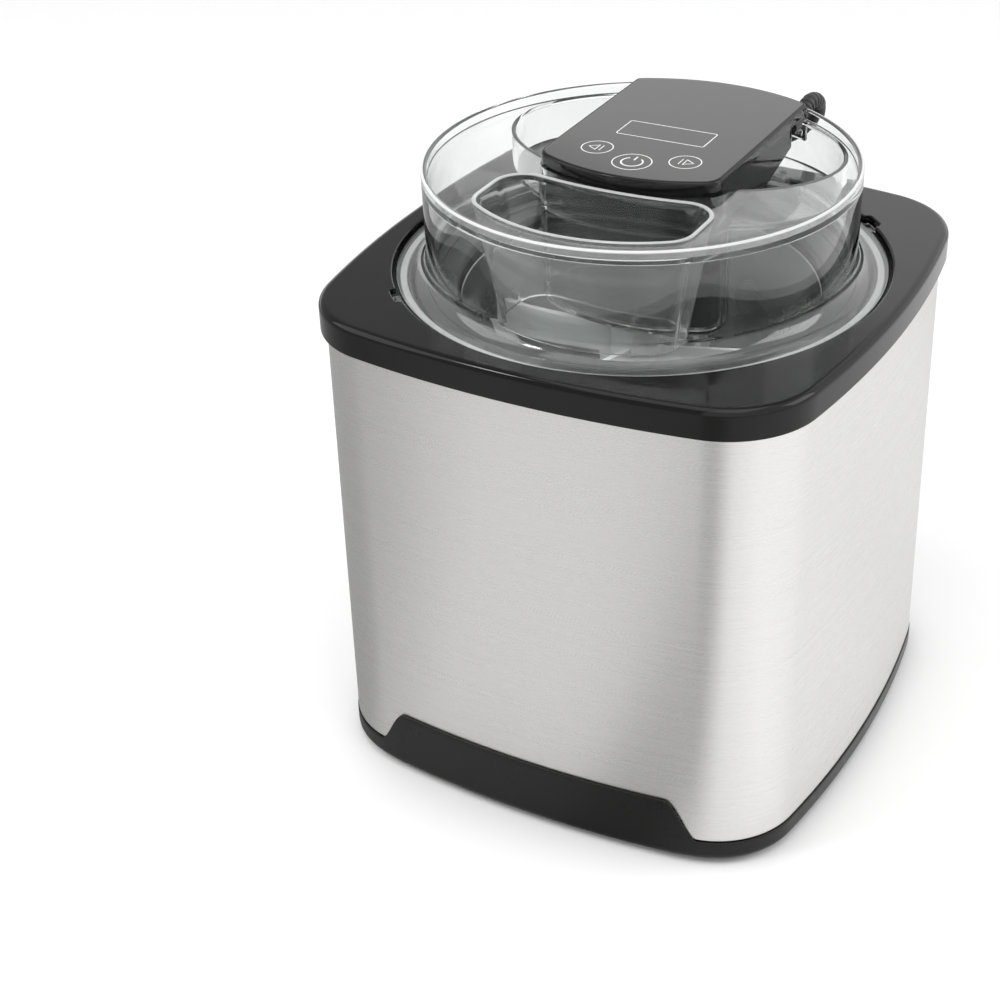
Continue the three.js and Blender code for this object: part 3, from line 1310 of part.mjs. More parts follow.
function cordTie() {
  const [inner, outer] = [coilInner, coilOuter];
  const [low, high] = [COIL_LIFT, COIL_LIFT + 2 * CORD_DIAMETER];
  const half = TIE_WIDTH / 2;
  const slack = inner - Math.sqrt(inner ** 2 - half ** 2);
  const room = block(inner - slack - GAP, outer + GAP, -half - 1, half + 1, low - GAP, high + GAP);
  const body = block(
    inner - slack - GAP - TIE_THICKNESS,
    outer + GAP + TIE_THICKNESS,
    -half,
    half,
    low - GAP - TIE_THICKNESS,
    high + GAP + TIE_THICKNESS,
  );
  return body.subtract(room);
}

function mainsPlug() {
  const circle = arc(0, 0, 1, 0, 2 * Math.PI, 24).slice(0, -1);
  const body = loft(PLUG_SECTIONS.map(([halfWidth, halfDepth, z]) => (
    [circle.map(([x, y]) => [x * halfWidth, y * halfDepth]), z]
  )));
  const bodyEnd = PLUG_SECTIONS[PLUG_SECTIONS.length - 1][2];
  const [w, d] = [BLADE_THICKNESS / 2, BLADE_WIDTH / 2];
  const blades = [-BLADE_SPREAD / 2, BLADE_SPREAD / 2].map((x) => (
    block(x - w, x + w, -d, d, bodyEnd - 1, bodyEnd + BLADE_LENGTH)
  ));
  return union(body, ...blades);
}

piece('strain_relief', strainRelief(), plastic(0x1b1b1b, 0.5));
piece('power_cord', cordTube(), plastic(0x161616, 0.5));
piece('cord_coil', cordCoil(), plastic(0x161616, 0.5), [...COIL_CENTRE, 0]);
const tie = piece('cord_tie', cordTie(), plastic(0x303030, 0.6), [...COIL_CENTRE, 0]);
tie.rotation.z = Math.PI / 3;
const [tailEndX, tailEndY, tailEndZ] = tailRoute[tailRoute.length - 1];
piece('cord_tail', cordTail(), plastic(0x161616, 0.5));
const plug = piece('mains_plug', mainsPlug(), plastic(0x1b1b1b, 0.5), [tailEndX, tailEndY - GAP, tailEndZ]);
plug.rotation.x = Math.PI / 2;

export default root;
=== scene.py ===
from functools import partial

import bpy
import numpy as np
from bpy.props import FloatProperty, FloatVectorProperty, PointerProperty
from bpy.types import Operator, Panel, PropertyGroup
from mathutils import Matrix, Vector


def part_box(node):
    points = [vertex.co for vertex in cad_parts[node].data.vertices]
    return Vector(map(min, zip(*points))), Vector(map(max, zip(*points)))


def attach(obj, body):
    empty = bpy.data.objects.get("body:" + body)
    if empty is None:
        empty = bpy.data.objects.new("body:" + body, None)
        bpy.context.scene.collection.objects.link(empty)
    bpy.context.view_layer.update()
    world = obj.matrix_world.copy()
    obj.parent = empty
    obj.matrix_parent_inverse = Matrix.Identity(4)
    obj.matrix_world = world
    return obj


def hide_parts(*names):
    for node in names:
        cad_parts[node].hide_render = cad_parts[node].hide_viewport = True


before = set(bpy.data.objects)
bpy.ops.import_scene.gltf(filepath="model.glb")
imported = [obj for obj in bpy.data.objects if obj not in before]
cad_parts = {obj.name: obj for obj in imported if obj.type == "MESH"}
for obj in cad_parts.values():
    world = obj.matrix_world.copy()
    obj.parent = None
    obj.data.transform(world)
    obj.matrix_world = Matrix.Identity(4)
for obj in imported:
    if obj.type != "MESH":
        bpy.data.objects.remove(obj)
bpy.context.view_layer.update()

bl_info = {
    "name": "Ice cream maker",
    "version": (1, 0, 0),
    "blender": (4, 5, 0),
    "location": "3D View > Sidebar > Ice cream maker",
    "description": "Outer surfaces, finishes, mains cord and studio of a countertop ice cream maker",
    "category": "Add Mesh",
}

MM = 0.001
TURN = 2 * np.pi


def low(node, axis):
    """The lowest reach of a CAD node along an axis (0 is X, 1 is Y, 2 is Z)."""
    return float(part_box(node)[0][axis])


def high(node, axis):
    """The highest reach of a CAD node along an axis."""
    return float(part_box(node)[1][axis])


# Heights that every piece is set out from.
BASE_BOTTOM = low("base_tray", 2)
SHELL_BOTTOM = low("steel_shell", 2)
SHELL_TOP = high("steel_shell", 2)
SKIRT_BOTTOM = low("top_deck", 2)
DECK_TOP = high("top_deck", 2)
RIM_TOP = high("clear_lid", 2)
COVER_TOP = high("head_cover", 2)
HOUSING_TOP = high("head_housing", 2)
HOUSING_BOTTOM = low("head_housing", 2)
BOWL_TOP = high("canister_bowl", 2)
BOWL_UNDER = low("canister_bowl", 2)
RING_TOP = high("canister_rim", 2)
RING_UNDER = low("canister_rim", 2)


# ---------------------------------------------------------------- settings


def length(name, description, default):
    """A size in metres that a user can set."""
    return FloatProperty(name=name, description=description, default=default, unit="LENGTH", precision=4)


def turned(name, description, degrees):
    """An angle that a user can set, its default given in degrees."""
    return FloatProperty(name=name, description=description, default=np.radians(degrees), subtype="ANGLE")


def colour(name, description, default):
    """A colour that a user can set."""
    return FloatVectorProperty(
        name=name, description=description, default=default, subtype="COLOR", size=3, min=0.0, max=1.0
    )


class BodySettings(PropertyGroup):
    """Sizes of the base, the steel shell and the deck."""

    half: length("Half width", "Half of the deck's width", high("top_deck", 0))
    bow: length("Side bow", "How far each side bows out", 11.7 * MM)
    corner: length("Corner radius", "Radius of the deck's corners", 42 * MM)
    deck_wall: length("Deck wall", "Thickness of the deck", 2.4 * MM)
    deck_edge: length("Deck edge", "Radius of the deck's upper edge", 3.2 * MM)
    shell_tuck: length("Shell inset", "How far the shell's foot stands inside the deck's outline", 1.7 * MM)
    shell_flare: length("Shell flare", "How much wider the shell is at its foot, on each side", 1.2 * MM)
    shell_wall: length("Shell wall", "Thickness of the steel", 1.2 * MM)
    base_height: length("Base height", "Height of the black band round the base", 10.6 * MM)
    base_edge: length("Base edge", "Radius of the base's lower edge", 4 * MM)
    plate_half: length("Plate half width", "Half width of the raised front plate at its foot", 82 * MM)
    plate_slope: length("Plate end", "Length of the plate's sloping ends", 16 * MM)


class LidSettings(PropertyGroup):
    """Sizes of the clear lid."""

    flange_radius: length("Flange radius", "Radius of the lid's flange", 108 * MM)
    flange_thickness: length("Flange thickness", "Thickness of the flange", 2.7 * MM)
    flange_recess: length("Flange recess", "How far the flange lies below the deck", 2 * MM)
    hole_clearance: length("Flange clearance", "Gap between the flange and the deck", 1.5 * MM)
    drum_radius: length("Drum radius", "Outer radius of the drum", 94.5 * MM)
    fillet: length("Drum fillet", "Radius where the drum meets the flange", 8 * MM)
    wall: length("Wall", "Thickness of the clear walls", 2 * MM)
    plate_drop: length("Plate drop", "Depth of the top plate below the rim", 4.4 * MM)
    rim_width: length("Rim width", "Width of the rim bead", 2.6 * MM)
    chute_depth: length("Chute depth", "Depth of the chute", 54 * MM)
    well_depth: length("Well depth", "Depth of the well for the motor head", 18.6 * MM)


class HeadSettings(PropertyGroup):
    """Sizes of the motor head."""

    cover_half: length("Cover half width", "Half width of the head's cover", high("head_cover", 0))
    cover_front: length("Cover front", "Place of the cover's front edge", low("head_cover", 1))
    bow_radius: length("Front bow", "Radius of the bowed front edges", 83 * MM)
    rear_radius: length("Rear radius", "Radius of the cover's back edge", high("head_cover", 1))
    film_margin: length("Film margin", "Width of the cover's rim round the film", 1.2 * MM)
    line_width: length("Icon line", "Width of the printed lines", 0.5 * MM)


class CordSettings(PropertyGroup):
    """Sizes of the mains cord."""

    diameter: length("Diameter", "Diameter of the cord's sheath", 6.2 * MM)
    coil_radius: length("Coil radius", "Radius at the middle of the coil's turns", 34 * MM)
    relief_length: length("Relief length", "Length of the strain relief", 34 * MM)


class ColourSettings(PropertyGroup):
    """Colours of the finishes."""

    steel: colour("Steel", "Brushed steel", (0.66, 0.655, 0.645))
    black: colour("Black plastic", "Polished black plastic", (0.005, 0.005, 0.0048))
    base: colour("Base plastic", "Black plastic of the base", (0.006, 0.006, 0.0058))
    film: colour("Film", "Glossy film on the control panel", (0.016, 0.016, 0.0155))
    ink: colour("Ink", "Printed icons", (0.78, 0.78, 0.78))
    clear: colour("Clear plastic", "Tint of the clear plastic", (0.985, 0.995, 0.99))
    # Darker than bare aluminium: the colour is partly the metal's own grey and partly painted shade for the
    # bowl's inside under the lid.
    aluminium: colour("Aluminium", "Spun aluminium of the bowl", (0.52, 0.53, 0.53))
    milky: colour("Dasher plastic", "Natural milky plastic", (0.75, 0.77, 0.76))
    rubber: colour("Rubber", "Cord and feet", (0.014, 0.014, 0.014))
    floor: colour("Floor", "Studio floor", (0.92, 0.92, 0.92))


class CameraSettings(PropertyGroup):
    """Where the camera stands."""

    azimuth: turned("Azimuth", "Turn round the object", 30.33)
    elevation: turned("Elevation", "Height angle", 31.99)
    roll: turned("Roll", "Tilt of the frame", -2.37)
    distance: length("Distance", "Distance to the target", 0.8676)
    target: FloatVectorProperty(
        name="Target",
        description="Point in the middle of the frame",
        default=(-0.03075, -0.07857, 0.14064),
        unit="LENGTH",
    )
    lens: FloatProperty(
        name="Lens", description="Focal length on a 36 mm sensor", default=70.68, subtype="DISTANCE_CAMERA"
    )


class IceCreamMakerSettings(PropertyGroup):
    """Everything that a user can set."""

    body: PointerProperty(type=BodySettings)
    lid: PointerProperty(type=LidSettings)
    head: PointerProperty(type=HeadSettings)
    cord: PointerProperty(type=CordSettings)
    colours: PointerProperty(type=ColourSettings)
    camera: PointerProperty(type=CameraSettings)


def settings():
    """The values that the user has set."""
    return bpy.context.scene.ice_cream_maker


# ---------------------------------------------------------------- meshes


def grid_faces(rows, columns, wrap_rows=False, wrap_columns=True):
    """Quads of a rows x columns grid of points: point (r, c) is number r * columns + c."""
    r = np.arange(rows if wrap_rows else rows - 1)[:, None]
    c = np.arange(columns if wrap_columns else columns - 1)[None, :]
    r2 = (r + 1) % rows
    c2 = (c + 1) % columns
    corners = np.broadcast_arrays(r * columns + c, r * columns + c2, r2 * columns + c2, r2 * columns + c)
    return np.stack(corners, axis=-1).reshape(-1, 4)


def signed_volume(points, faces):
    """Sum of a . (b x c) / 6 over the faces, each cut into two triangles from its first corner."""
    a, b, c, d = (points[faces[:, k]] for k in range(4))
    return float(np.sum(a * np.cross(b, c)) + np.sum(a * np.cross(c, d))) / 6


def add_object(name, data):
    """A new object at the origin, linked into the scene."""
    made = bpy.data.objects.new(name, data)
    bpy.context.scene.collection.objects.link(made)
    return made


def mesh_object(name, points, faces, sharp=35.0):
    """A smooth mesh object, its coinciding points merged. Edges sharper than `sharp` degrees stay crisp."""
    if signed_volume(points, faces) < 0:
        faces = faces[:, ::-1]
    merged, index = np.unique(np.round(points, 7), axis=0, return_inverse=True)
    faces = index.reshape(-1)[faces]
    polygons = [list(dict.fromkeys(face)) for face in faces.tolist()]
    mesh = bpy.data.meshes.new(name)
    mesh.from_pydata(merged.tolist(), [], [p for p in polygons if len(p) > 2])
    mesh.validate()
    mesh.shade_smooth()
    mesh.set_sharp_from_angle(angle=np.radians(sharp))
    return add_object(name, mesh)


def capped(grid):
    """The grid with a row more at each end, drawn together in the middle of the end row to close it."""
    ends = [np.broadcast_to(row.mean(axis=0), row.shape)[None] for row in (grid[0], grid[-1])]
    return np.concatenate([ends[0], grid, ends[1]])


def gathered(parts):
    """Several parts, each (points, faces), as one: a part's points are numbered on from those before it."""
    points, faces = zip(*parts)
    starts = np.cumsum([0] + [len(p) for p in points])
    return np.concatenate(points), np.concatenate([f + start for f, start in zip(faces, starts)])


def surface(name, grid, wrap_rows=False, cap=False, sharp=35.0):
    """A surface through a grid of points, (rows, columns, 3), whose columns go round. cap closes its ends."""
    if cap:
        grid = capped(grid)
    return mesh_object(name, grid.reshape(-1, 3), grid_faces(*grid.shape[:2], wrap_rows), sharp)


def rounded(corners, cuts, steps=5):
    """A closed outline with rounded corners, each a quadratic curve from `cut` before it to `cut` past it."""
    corners = np.asarray(corners, float)
    before = np.roll(corners, 1, axis=0) - corners
    after = np.roll(corners, -1, axis=0) - corners
    lengths = [np.linalg.norm(side, axis=1, keepdims=True) for side in (before, after)]
    cut = np.broadcast_to(np.asarray(cuts, float).reshape(-1, 1), (len(corners), 1))
    cut = np.minimum(cut, 0.49 * np.minimum(*lengths))
    start = corners + before / lengths[0] * cut
    end = corners + after / lengths[1] * cut
    t = np.linspace(0, 1, steps + 1)[None, :, None]
    curve = (1 - t) ** 2 * start[:, None] + 2 * t * (1 - t) * corners[:, None] + t ** 2 * end[:, None]
    return curve.reshape(-1, corners.shape[1])


def whole_turn(count):
    """Equal angles round a full turn: 2 pi k / count."""
    return np.arange(count) * TURN / count


def polar(angle, radius, centre=(0.0, 0.0)):
    """Plan points at those angles and radii about a centre: c + r (cos a, sin a)."""
    return np.stack([centre[0] + radius * np.cos(angle), centre[1] + radius * np.sin(angle)], axis=-1)


def arc(centre, radius, start, end, steps):
    """Points on an arc, its angles in radians, both ends included."""
    return polar(np.linspace(start, end, steps + 1), radius, centre)


def circle(radius, centre=(0.0, 0.0), count=96):
    """Plan of a round."""
    return polar(whole_turn(count), radius, centre)


def skin(outlines, heights):
    """A grid of points from plan outlines, (rows, columns, 2), with a height for each row or each point."""
    outlines = np.asarray(outlines)
    z = np.stack([np.broadcast_to(height, outlines.shape[1]) for height in heights])
    return np.concatenate([outlines, z[:, :, None]], axis=-1)


def lathe(name, profile, count=192, closed=True, centre=(0.0, 0.0)):
    """A profile of (radius, z) turned about a vertical axis: x = r cos a, y = r sin a."""
    profile = np.asarray(profile, float)
    plan = polar(whole_turn(count), profile[:, :1], centre)
    return surface(name, skin(plan, profile[:, 1]), wrap_rows=closed)


def smoothstep(t):
    """0 below 0, 1 above 1, and 3 t^2 - 2 t^3 between."""
    t = np.clip(t, 0, 1)
    return t * t * (3 - 2 * t)


def catmull_rom(points, per_span=12):
    """Centripetal Catmull-Rom curve through the points: knots lie the square root of a chord apart."""
    points = np.asarray(points, float)
    padded = np.concatenate([2 * points[:1] - points[1:2], points, 2 * points[-1:] - points[-2:-1]])
    p0, p1, p2, p3 = (padded[k : len(padded) - 3 + k, None] for k in range(4))
    chords = (p1 - p0, p2 - p1, p3 - p2)
    d0, d1, d2 = (np.sqrt(np.linalg.norm(chord, axis=-1, keepdims=True)) for chord in chords)
    m1 = (p1 - p0) / d0 - (p2 - p0) / (d0 + d1) + (p2 - p1) / d1
    m2 = (p2 - p1) / d1 - (p3 - p1) / (d1 + d2) + (p3 - p2) / d2
    t = np.linspace(0, 1, per_span, endpoint=False)[None, :, None]
    curve = (
        (2 * t ** 3 - 3 * t ** 2 + 1) * p1
        + (t ** 3 - 2 * t ** 2 + t) * m1 * d1
        + (3 * t ** 2 - 2 * t ** 3) * p2
        + (t ** 3 - t ** 2) * m2 * d1
    )
    return np.concatenate([curve.reshape(-1, points.shape[1]), points[-1:]])


def travelled(path):
    """Distance along a path at each of its points."""
    return np.concatenate([[0.0], np.cumsum(np.linalg.norm(np.diff(path, axis=0), axis=1))])


def place(piece, body, slot, material, *nodes):
    """Gives a piece its finish and the body it rides on, and hides the CAD nodes that it stands for. Its slot
    is not used.
    """
    piece.data.materials.clear()
    piece.data.materials.append(material)
    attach(piece, body)
    if nodes:
        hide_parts(*nodes)
    return piece


def combine(piece, other, operation):
    """Joins, cuts or keeps the overlap of two closed pieces, and removes the second."""
    modifier = piece.modifiers.new("cut", "BOOLEAN")
    modifier.operation = operation
    modifier.solver = "MANIFOLD"
    modifier.object = other
    graph = bpy.context.evaluated_depsgraph_get()
    result = bpy.data.meshes.new_from_object(piece.evaluated_get(graph))
    piece.modifiers.clear()
    old = piece.data
    piece.data = result
    bpy.data.meshes.remove(old)
    bpy.data.objects.remove(other)
    return piece


# ---------------------------------------------------------------- plans

ANGLES = whole_turn(720)


def body_outline(inset=0.0):
    """The body's plan, `inset` inside the deck's outline: four arcs that bow out, joined by tangent corners.

    A side's arc has its centre on the far side of the axis, and a corner's centre lies on the diagonal. A ray
    from the axis meets the side's circle up to the joint's angle from the side's middle, else the corner's.
    """
    s = settings().body
    chord = s.half - s.bow
    side = (chord ** 2 + s.bow ** 2) / (2 * s.bow)
    back = side - s.half
    corner = (np.sqrt(2 * (side - s.corner) ** 2 - back ** 2) - back) / 2
    turn = np.arctan2(corner, corner + back)
    joint = np.arctan2((side - inset) * np.sin(turn), (side - inset) * np.cos(turn) - back)
    t = np.abs((ANGLES + np.pi / 4) % (np.pi / 2) - np.pi / 4)
    on_side = np.sqrt((side - inset) ** 2 - (back * np.sin(t)) ** 2) - back * np.cos(t)
    reach = np.maximum((s.corner - inset) ** 2 - (corner * (np.cos(t) - np.sin(t))) ** 2, 0)
    on_corner = corner * (np.cos(t) + np.sin(t)) + np.sqrt(reach)
    return polar(ANGLES, np.where(t < joint, on_side, on_corner))


def mirrored(right):
    """A closed outline from its right half, which starts and ends on the middle line."""
    right = np.asarray(right)
    return np.concatenate([right, right[1:-1][::-1] * [-1, 1]])


# Plans of the motor head and its well: half width, front edge, back edge or rear radius, and corner radii.
UPPER_PLAN = {"half": 41 * MM, "front": -22.5 * MM, "rear": 82.5 * MM, "corners": (9 * MM, 3 * MM)}
TRAY_PLAN = {"half": 41 * MM, "front": -22.5 * MM, "back": 54.5 * MM, "corners": (9 * MM, 9 * MM)}
COLUMN_PLAN = {"half": 23.5 * MM, "front": -20 * MM, "back": 54.5 * MM, "corners": (20 * MM, 20 * MM)}
FRONT_BLOCK_PLAN = {"half": 40 * MM, "front": -22.5 * MM, "back": 6 * MM, "corners": (9 * MM, 9 * MM)}
WELL_MIDDLE = 36 * MM
WELL_HALF_WIDTH = 76 * MM
WELL_HALF_DEPTH = 50 * MM
WELL_FRONT_PLAN = {"half": 41 * MM, "front": -22.5 * MM, "back": WELL_MIDDLE, "corners": (9 * MM, 9 * MM)}
COVER_FOOT = COVER_TOP - 5.5 * MM
POST_TOP = COVER_FOOT - 8 * MM


def head_outline(plan, grow=0.0):
    """A plan of the head: a bowed front, straight sides and a back, straight or an arc about the axis."""
    bow = settings().head.bow_radius
    side = plan["half"] + grow
    r1, r2 = (max(r + grow, 0.3 * MM) for r in plan["corners"])
    centre = plan["front"] + bow
    y1 = centre - np.sqrt((bow + grow - r1) ** 2 - (side - r1) ** 2)
    lean = np.arctan2(y1 - centre, side - r1)
    right = [arc((0, centre), bow + grow, -np.pi / 2, lean, 18)[:-1], arc((side - r1, y1), r1, lean, 0, 10)]
    if "rear" in plan:
        rear = plan["rear"] + grow
        y2 = np.sqrt((rear - r2) ** 2 - (side - r2) ** 2)
        opening = np.arctan2(y2, side - r2)
        right += [arc((side - r2, y2), r2, 0, opening, 10)[:-1], arc((0, 0), rear, opening, np.pi / 2, 18)]
    else:
        y2 = plan["back"] + grow
        right += [arc((side - r2, y2 - r2), r2, 0, np.pi / 2, 10)[:-1]]
        right += [np.stack([np.linspace(side - r2, 0, 19), np.full(19, y2)], axis=-1)]
    return mirrored(np.concatenate(right))


def cover_outline(grow=0.0):
    """Plan of the head's cover, which reaches further out than the housing."""
    s = settings().head
    plan = {"half": s.cover_half, "front": s.cover_front, "rear": s.rear_radius, "corners": (9 * MM, 3 * MM)}
    return head_outline(plan, grow)


def chute_outline(grow=0.0, taper=0.0):
    """Plan of the chute: a front arc about the axis, round corners and a rear edge that bows forward.

    taper is 0 at the chute's top and 1 at its foot, where the sides are 10 mm and the front 9 mm further in.
    """
    front = 77.5 * MM - 9 * MM * taper + grow
    side = 48.5 * MM - 10 * MM * taper + grow
    bow = 200 * MM - grow
    centre = 169 * MM
    corner = 12 * MM + grow
    y1 = centre - np.sqrt((bow + corner) ** 2 - (side - corner) ** 2)
    y2 = -np.sqrt((front - corner) ** 2 - (side - corner) ** 2)
    a1 = np.arctan2(y1 - centre, side - corner)
    a2 = np.arctan2(y2, side - corner)
    right = [
        arc((0, 0), front, -np.pi / 2, a2, 24)[:-1],
        arc((side - corner, y2), corner, a2, 0, 12),
        arc((side - corner, y1), corner, 0, a1 + np.pi, 16)[:-1],
        arc((0, centre), bow, a1, -np.pi / 2, 20),
    ]
    return mirrored(np.concatenate(right))


def well_outline(grow=0.0):
    """Plan of the lid's well: the ellipse (a cos t, c + b sin t)."""
    return circle(1.0, count=160) * [WELL_HALF_WIDTH + grow, WELL_HALF_DEPTH + grow] + [0, WELL_MIDDLE]


def solid(outlines, heights, name="cutter"):
    """A closed solid through plan outlines at rising heights."""
    return surface(name, skin(outlines, heights), cap=True)


def rounded_solid(plan, low_z, high_z, foot, flare=0.0):
    """A solid on the outline `plan(grow)`, its foot rounded to `foot` and its top flared by `flare`."""
    quarter = np.radians([0, 22.5, 45, 67.5, 90])
    rows = [(-foot * (1 - np.sin(a)), low_z + foot * (1 - np.cos(a))) for a in quarter]
    if flare:
        rows += [(flare * (1 - np.cos(a)), high_z - flare * (1 - np.sin(a))) for a in quarter]
        rows.append((flare, high_z + 2 * MM))
    else:
        rows.append((0.0, high_z))
    return solid([plan(grow) for grow, _ in rows], [z for _, z in rows])


def box_solid(low_corner, high_corner):
    """A closed block."""
    (x0, y0, z0), (x1, y1, z1) = low_corner, high_corner
    outline = np.array([(x0, y0), (x1, y0), (x1, y1), (x0, y1)])
    return solid([outline, outline], [z0, z1])


def keep_flats(piece):
    """Smooth shading that leaves flat faces flat: a corner's normal is weighted by the area of its faces."""
    piece.data.shade_smooth()
    piece.data.set_sharp_from_angle(angle=np.radians(25))
    modifier = piece.modifiers.new("flat faces", "WEIGHTED_NORMAL")
    modifier.keep_sharp = True
    modifier.weight = 50
    return piece


# ---------------------------------------------------------------- body


def rim_rows(outline, edge, z, steps):
    """Rows of (outline, height) up a quarter round of radius `edge` from a wall to a flat top at z.

    outline takes the distance from the wall, edge (1 - cos a), and the height is z - edge (1 - sin a).
    """
    angles = np.radians(np.linspace(0, 90, steps + 1))
    return [(outline(edge * (1 - np.cos(a))), z - edge * (1 - np.sin(a))) for a in angles]


def hole_outline(grow=0.0):
    """The deck's round opening, with a notch for each of the lid's two tabs.

    The radius grows by the notch's depth where a point is nearer to the tab's middle line than half a width.
    """
    notch_depth, notch_half, notch_ease = 2.9 * MM, 6.4 * MM, 1.0 * MM
    s = settings().lid
    hole = s.flange_radius + s.hole_clearance
    off = (ANGLES + 3 * np.pi / 4) % np.pi
    off = np.minimum(off, np.pi - off)
    notch = notch_depth * smoothstep((notch_half - hole * np.sin(off)) / notch_ease)
    return polar(ANGLES, hole + notch + grow)


def top_deck():
    """Deck skin: out over the flat from the round opening, over the edge, down the skirt and back inside."""
    s = settings().body
    under = DECK_TOP - s.deck_wall
    rows = [(hole_outline(), under)] + rim_rows(hole_outline, 0.6 * MM, DECK_TOP, 4)
    rows += [(hole_outline(1.2 * MM), DECK_TOP), (body_outline(s.deck_edge + 0.6 * MM), DECK_TOP)]
    rows += rim_rows(body_outline, s.deck_edge, DECK_TOP, 8)[::-1]
    rows += [
        (body_outline(), DECK_TOP - s.deck_edge - 0.6 * MM),
        (body_outline(), SKIRT_BOTTOM + 0.9 * MM),
        (body_outline(), SKIRT_BOTTOM + 0.4 * MM),
        (body_outline(0.12 * MM), SKIRT_BOTTOM + 0.12 * MM),
        (body_outline(0.4 * MM), SKIRT_BOTTOM),
        (body_outline(s.deck_wall), SKIRT_BOTTOM),
        (body_outline(s.deck_wall), under),
    ]
    return surface("deck_skin", skin(*zip(*rows)), wrap_rows=True)


def steel_shell():
    """Sheet of steel between the base and the deck, a little wider at its foot, with soft hemmed edges."""
    s = settings().body
    edge = 0.35 * MM
    bevel = 0.1 * MM

    def sheet(t, inward=0.0):
        """The sheet's plan at a share t of its height: the inset grows evenly from the foot to the top."""
        return body_outline(s.shell_tuck + s.shell_flare * t + inward)

    rows = [
        (sheet(0, s.shell_wall), SHELL_BOTTOM),
        (sheet(0, edge), SHELL_BOTTOM),
        (sheet(0, bevel), SHELL_BOTTOM + bevel),
        (sheet(0), SHELL_BOTTOM + edge),
    ]
    for t in (0.006, 0.25, 0.5, 0.75, 0.994, 1.0):
        rows.append((sheet(t), SHELL_BOTTOM + (SHELL_TOP - SHELL_BOTTOM) * t))
    rows.append((sheet(1, s.shell_wall), SHELL_TOP))
    return surface("steel_skin", skin(*zip(*rows)), wrap_rows=True)


def base_tray():
    """Base with a raised plate at its front.

    The plate's height over the band is `rise` times an eased step of the distance from the middle line. Under
    the plate the base's outline stands out by 1 mm, with a wider step.
    """
    s = settings().body
    top = BASE_BOTTOM + s.base_height
    rise = high("base_tray", 2) - top
    x, y = body_outline(s.shell_tuck).T
    step = smoothstep((s.plate_half - np.abs(x)) / s.plate_slope) * (y < 0)
    proud = smoothstep((s.plate_half + 6 * MM - np.abs(x)) / (s.plate_slope + 4 * MM)) * (y < 0)
    face = s.shell_tuck - 0.4 * MM - 1.0 * MM * proud
    crest = top + rise * step
    edge = s.base_edge
    lean = 0.2 * MM
    lip = 0.6 * MM
    wall_height = crest - 0.7 * MM - BASE_BOTTOM - edge
    rows = []
    for a in np.radians(np.linspace(0, 90, 8)):
        rows.append((body_outline(face + edge * (1 - np.sin(a))), BASE_BOTTOM + edge * (1 - np.cos(a))))
    for t in (0.05, 0.3, 0.6, 0.9):
        rows.append((body_outline(face + lean * t * step), BASE_BOTTOM + edge + wall_height * t))
    rows += rim_rows(lambda inward: body_outline(face + lean * step + inward), lip, crest, 3)
    ledge = body_outline(np.maximum(s.shell_tuck - 0.3 * MM, face + 0.62 * MM))
    inside = body_outline(s.shell_tuck + 3 * MM)
    rows += [(ledge, crest), (ledge, top), (inside, top), (inside, BASE_BOTTOM + 2.5 * MM)]
    return surface("base_skin", skin(*zip(*rows)), cap=True)


def rubber_foot(k):
    """Round foot with a soft edge and a shallow ring in its sole."""
    (x0, y0, _), (x1, y1, _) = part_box(f"rubber_foot_{k}")
    r = (x1 - x0) / 2
    top = 1.7 * MM
    sole = [(0, 0.3 * MM), (r * 0.55, 0.3 * MM), (r * 0.6, 0), (r - 1.4 * MM, 0), (r - 0.9 * MM, 0.15 * MM)]
    side = [(r - 0.4 * MM, 0.8 * MM), (r - 0.3 * MM, top - 0.2 * MM), (r - 0.6 * MM, top), (5 * MM, top)]
    stem = [(5 * MM, 4.3 * MM), (4.6 * MM, 4.5 * MM), (0, 4.5 * MM)]
    middle = ((x0 + x1) / 2, (y0 + y1) / 2)
    return lathe(f"foot_{k}", sole + side + stem, count=64, closed=False, centre=middle)


# ---------------------------------------------------------------- canister


def bowl():
    """Spun bowl: a floor with a pivot pin, a round bottom edge, a tapered wall and a flat, rolled lip."""
    wall = 1.6 * MM
    floor = BOWL_UNDER + wall
    lip = high("canister_bowl", 0)
    bend = (63 * MM, floor + 14 * MM)
    pin = [(0, 9), (2.2, 9), (2.8, 8.7), (3.05, 8.1), (3.9, 1.2), (4.2, 0.4), (5.0, 0)]
    inside = [(r * MM, floor + z * MM) for r, z in pin]
    inside += [(8 * MM, floor), (40 * MM, floor), (62 * MM, floor)]
    inside += arc(bend, 14 * MM, -np.pi / 2, 0, 16).tolist()
    inside += [(77.02 * MM, floor + 14.6 * MM), (79.98 * MM, BOWL_TOP - 1.4 * MM)]
    inside += arc((80.9 * MM, BOWL_TOP - 0.9 * MM), 0.9 * MM, np.pi, np.pi / 2, 5).tolist()
    under = BOWL_TOP - wall
    outside = [(81.6 * MM, BOWL_TOP), (lip - 0.6 * MM, BOWL_TOP), (lip, BOWL_TOP - 0.5 * MM), (lip, under)]
    outside += [(82.2 * MM, under), (81.6 * MM, under - 0.4 * MM), (78.62 * MM, floor + 14 * MM)]
    outside += arc(bend, 14 * MM + wall, 0, -np.pi / 2, 12)[1:].tolist() + [(0, floor - wall)]
    return lathe("bowl_skin", inside + outside, closed=False)


def canister_outer():
    """Plastic outside of the canister: a deep cup with a rounded foot."""
    z0 = low("canister_outer", 2)
    wall = 2 * MM
    bend = (86 * MM, z0 + 8 * MM)
    outside = [(0, z0), (70 * MM, z0)] + arc(bend, 8 * MM, -np.pi / 2, 0, 12).tolist()
    outside += [(94.05 * MM, z0 + 9 * MM), (96.5 * MM, BOWL_TOP)]
    inside = [(94.5 * MM, BOWL_TOP), (92 * MM, z0 + 8.5 * MM)]
    inside += arc(bend, 8 * MM - wall, 0, -np.pi / 2, 10)[1:].tolist() + [(0, z0 + wall)]
    return lathe("canister_skin", outside + inside, closed=False)


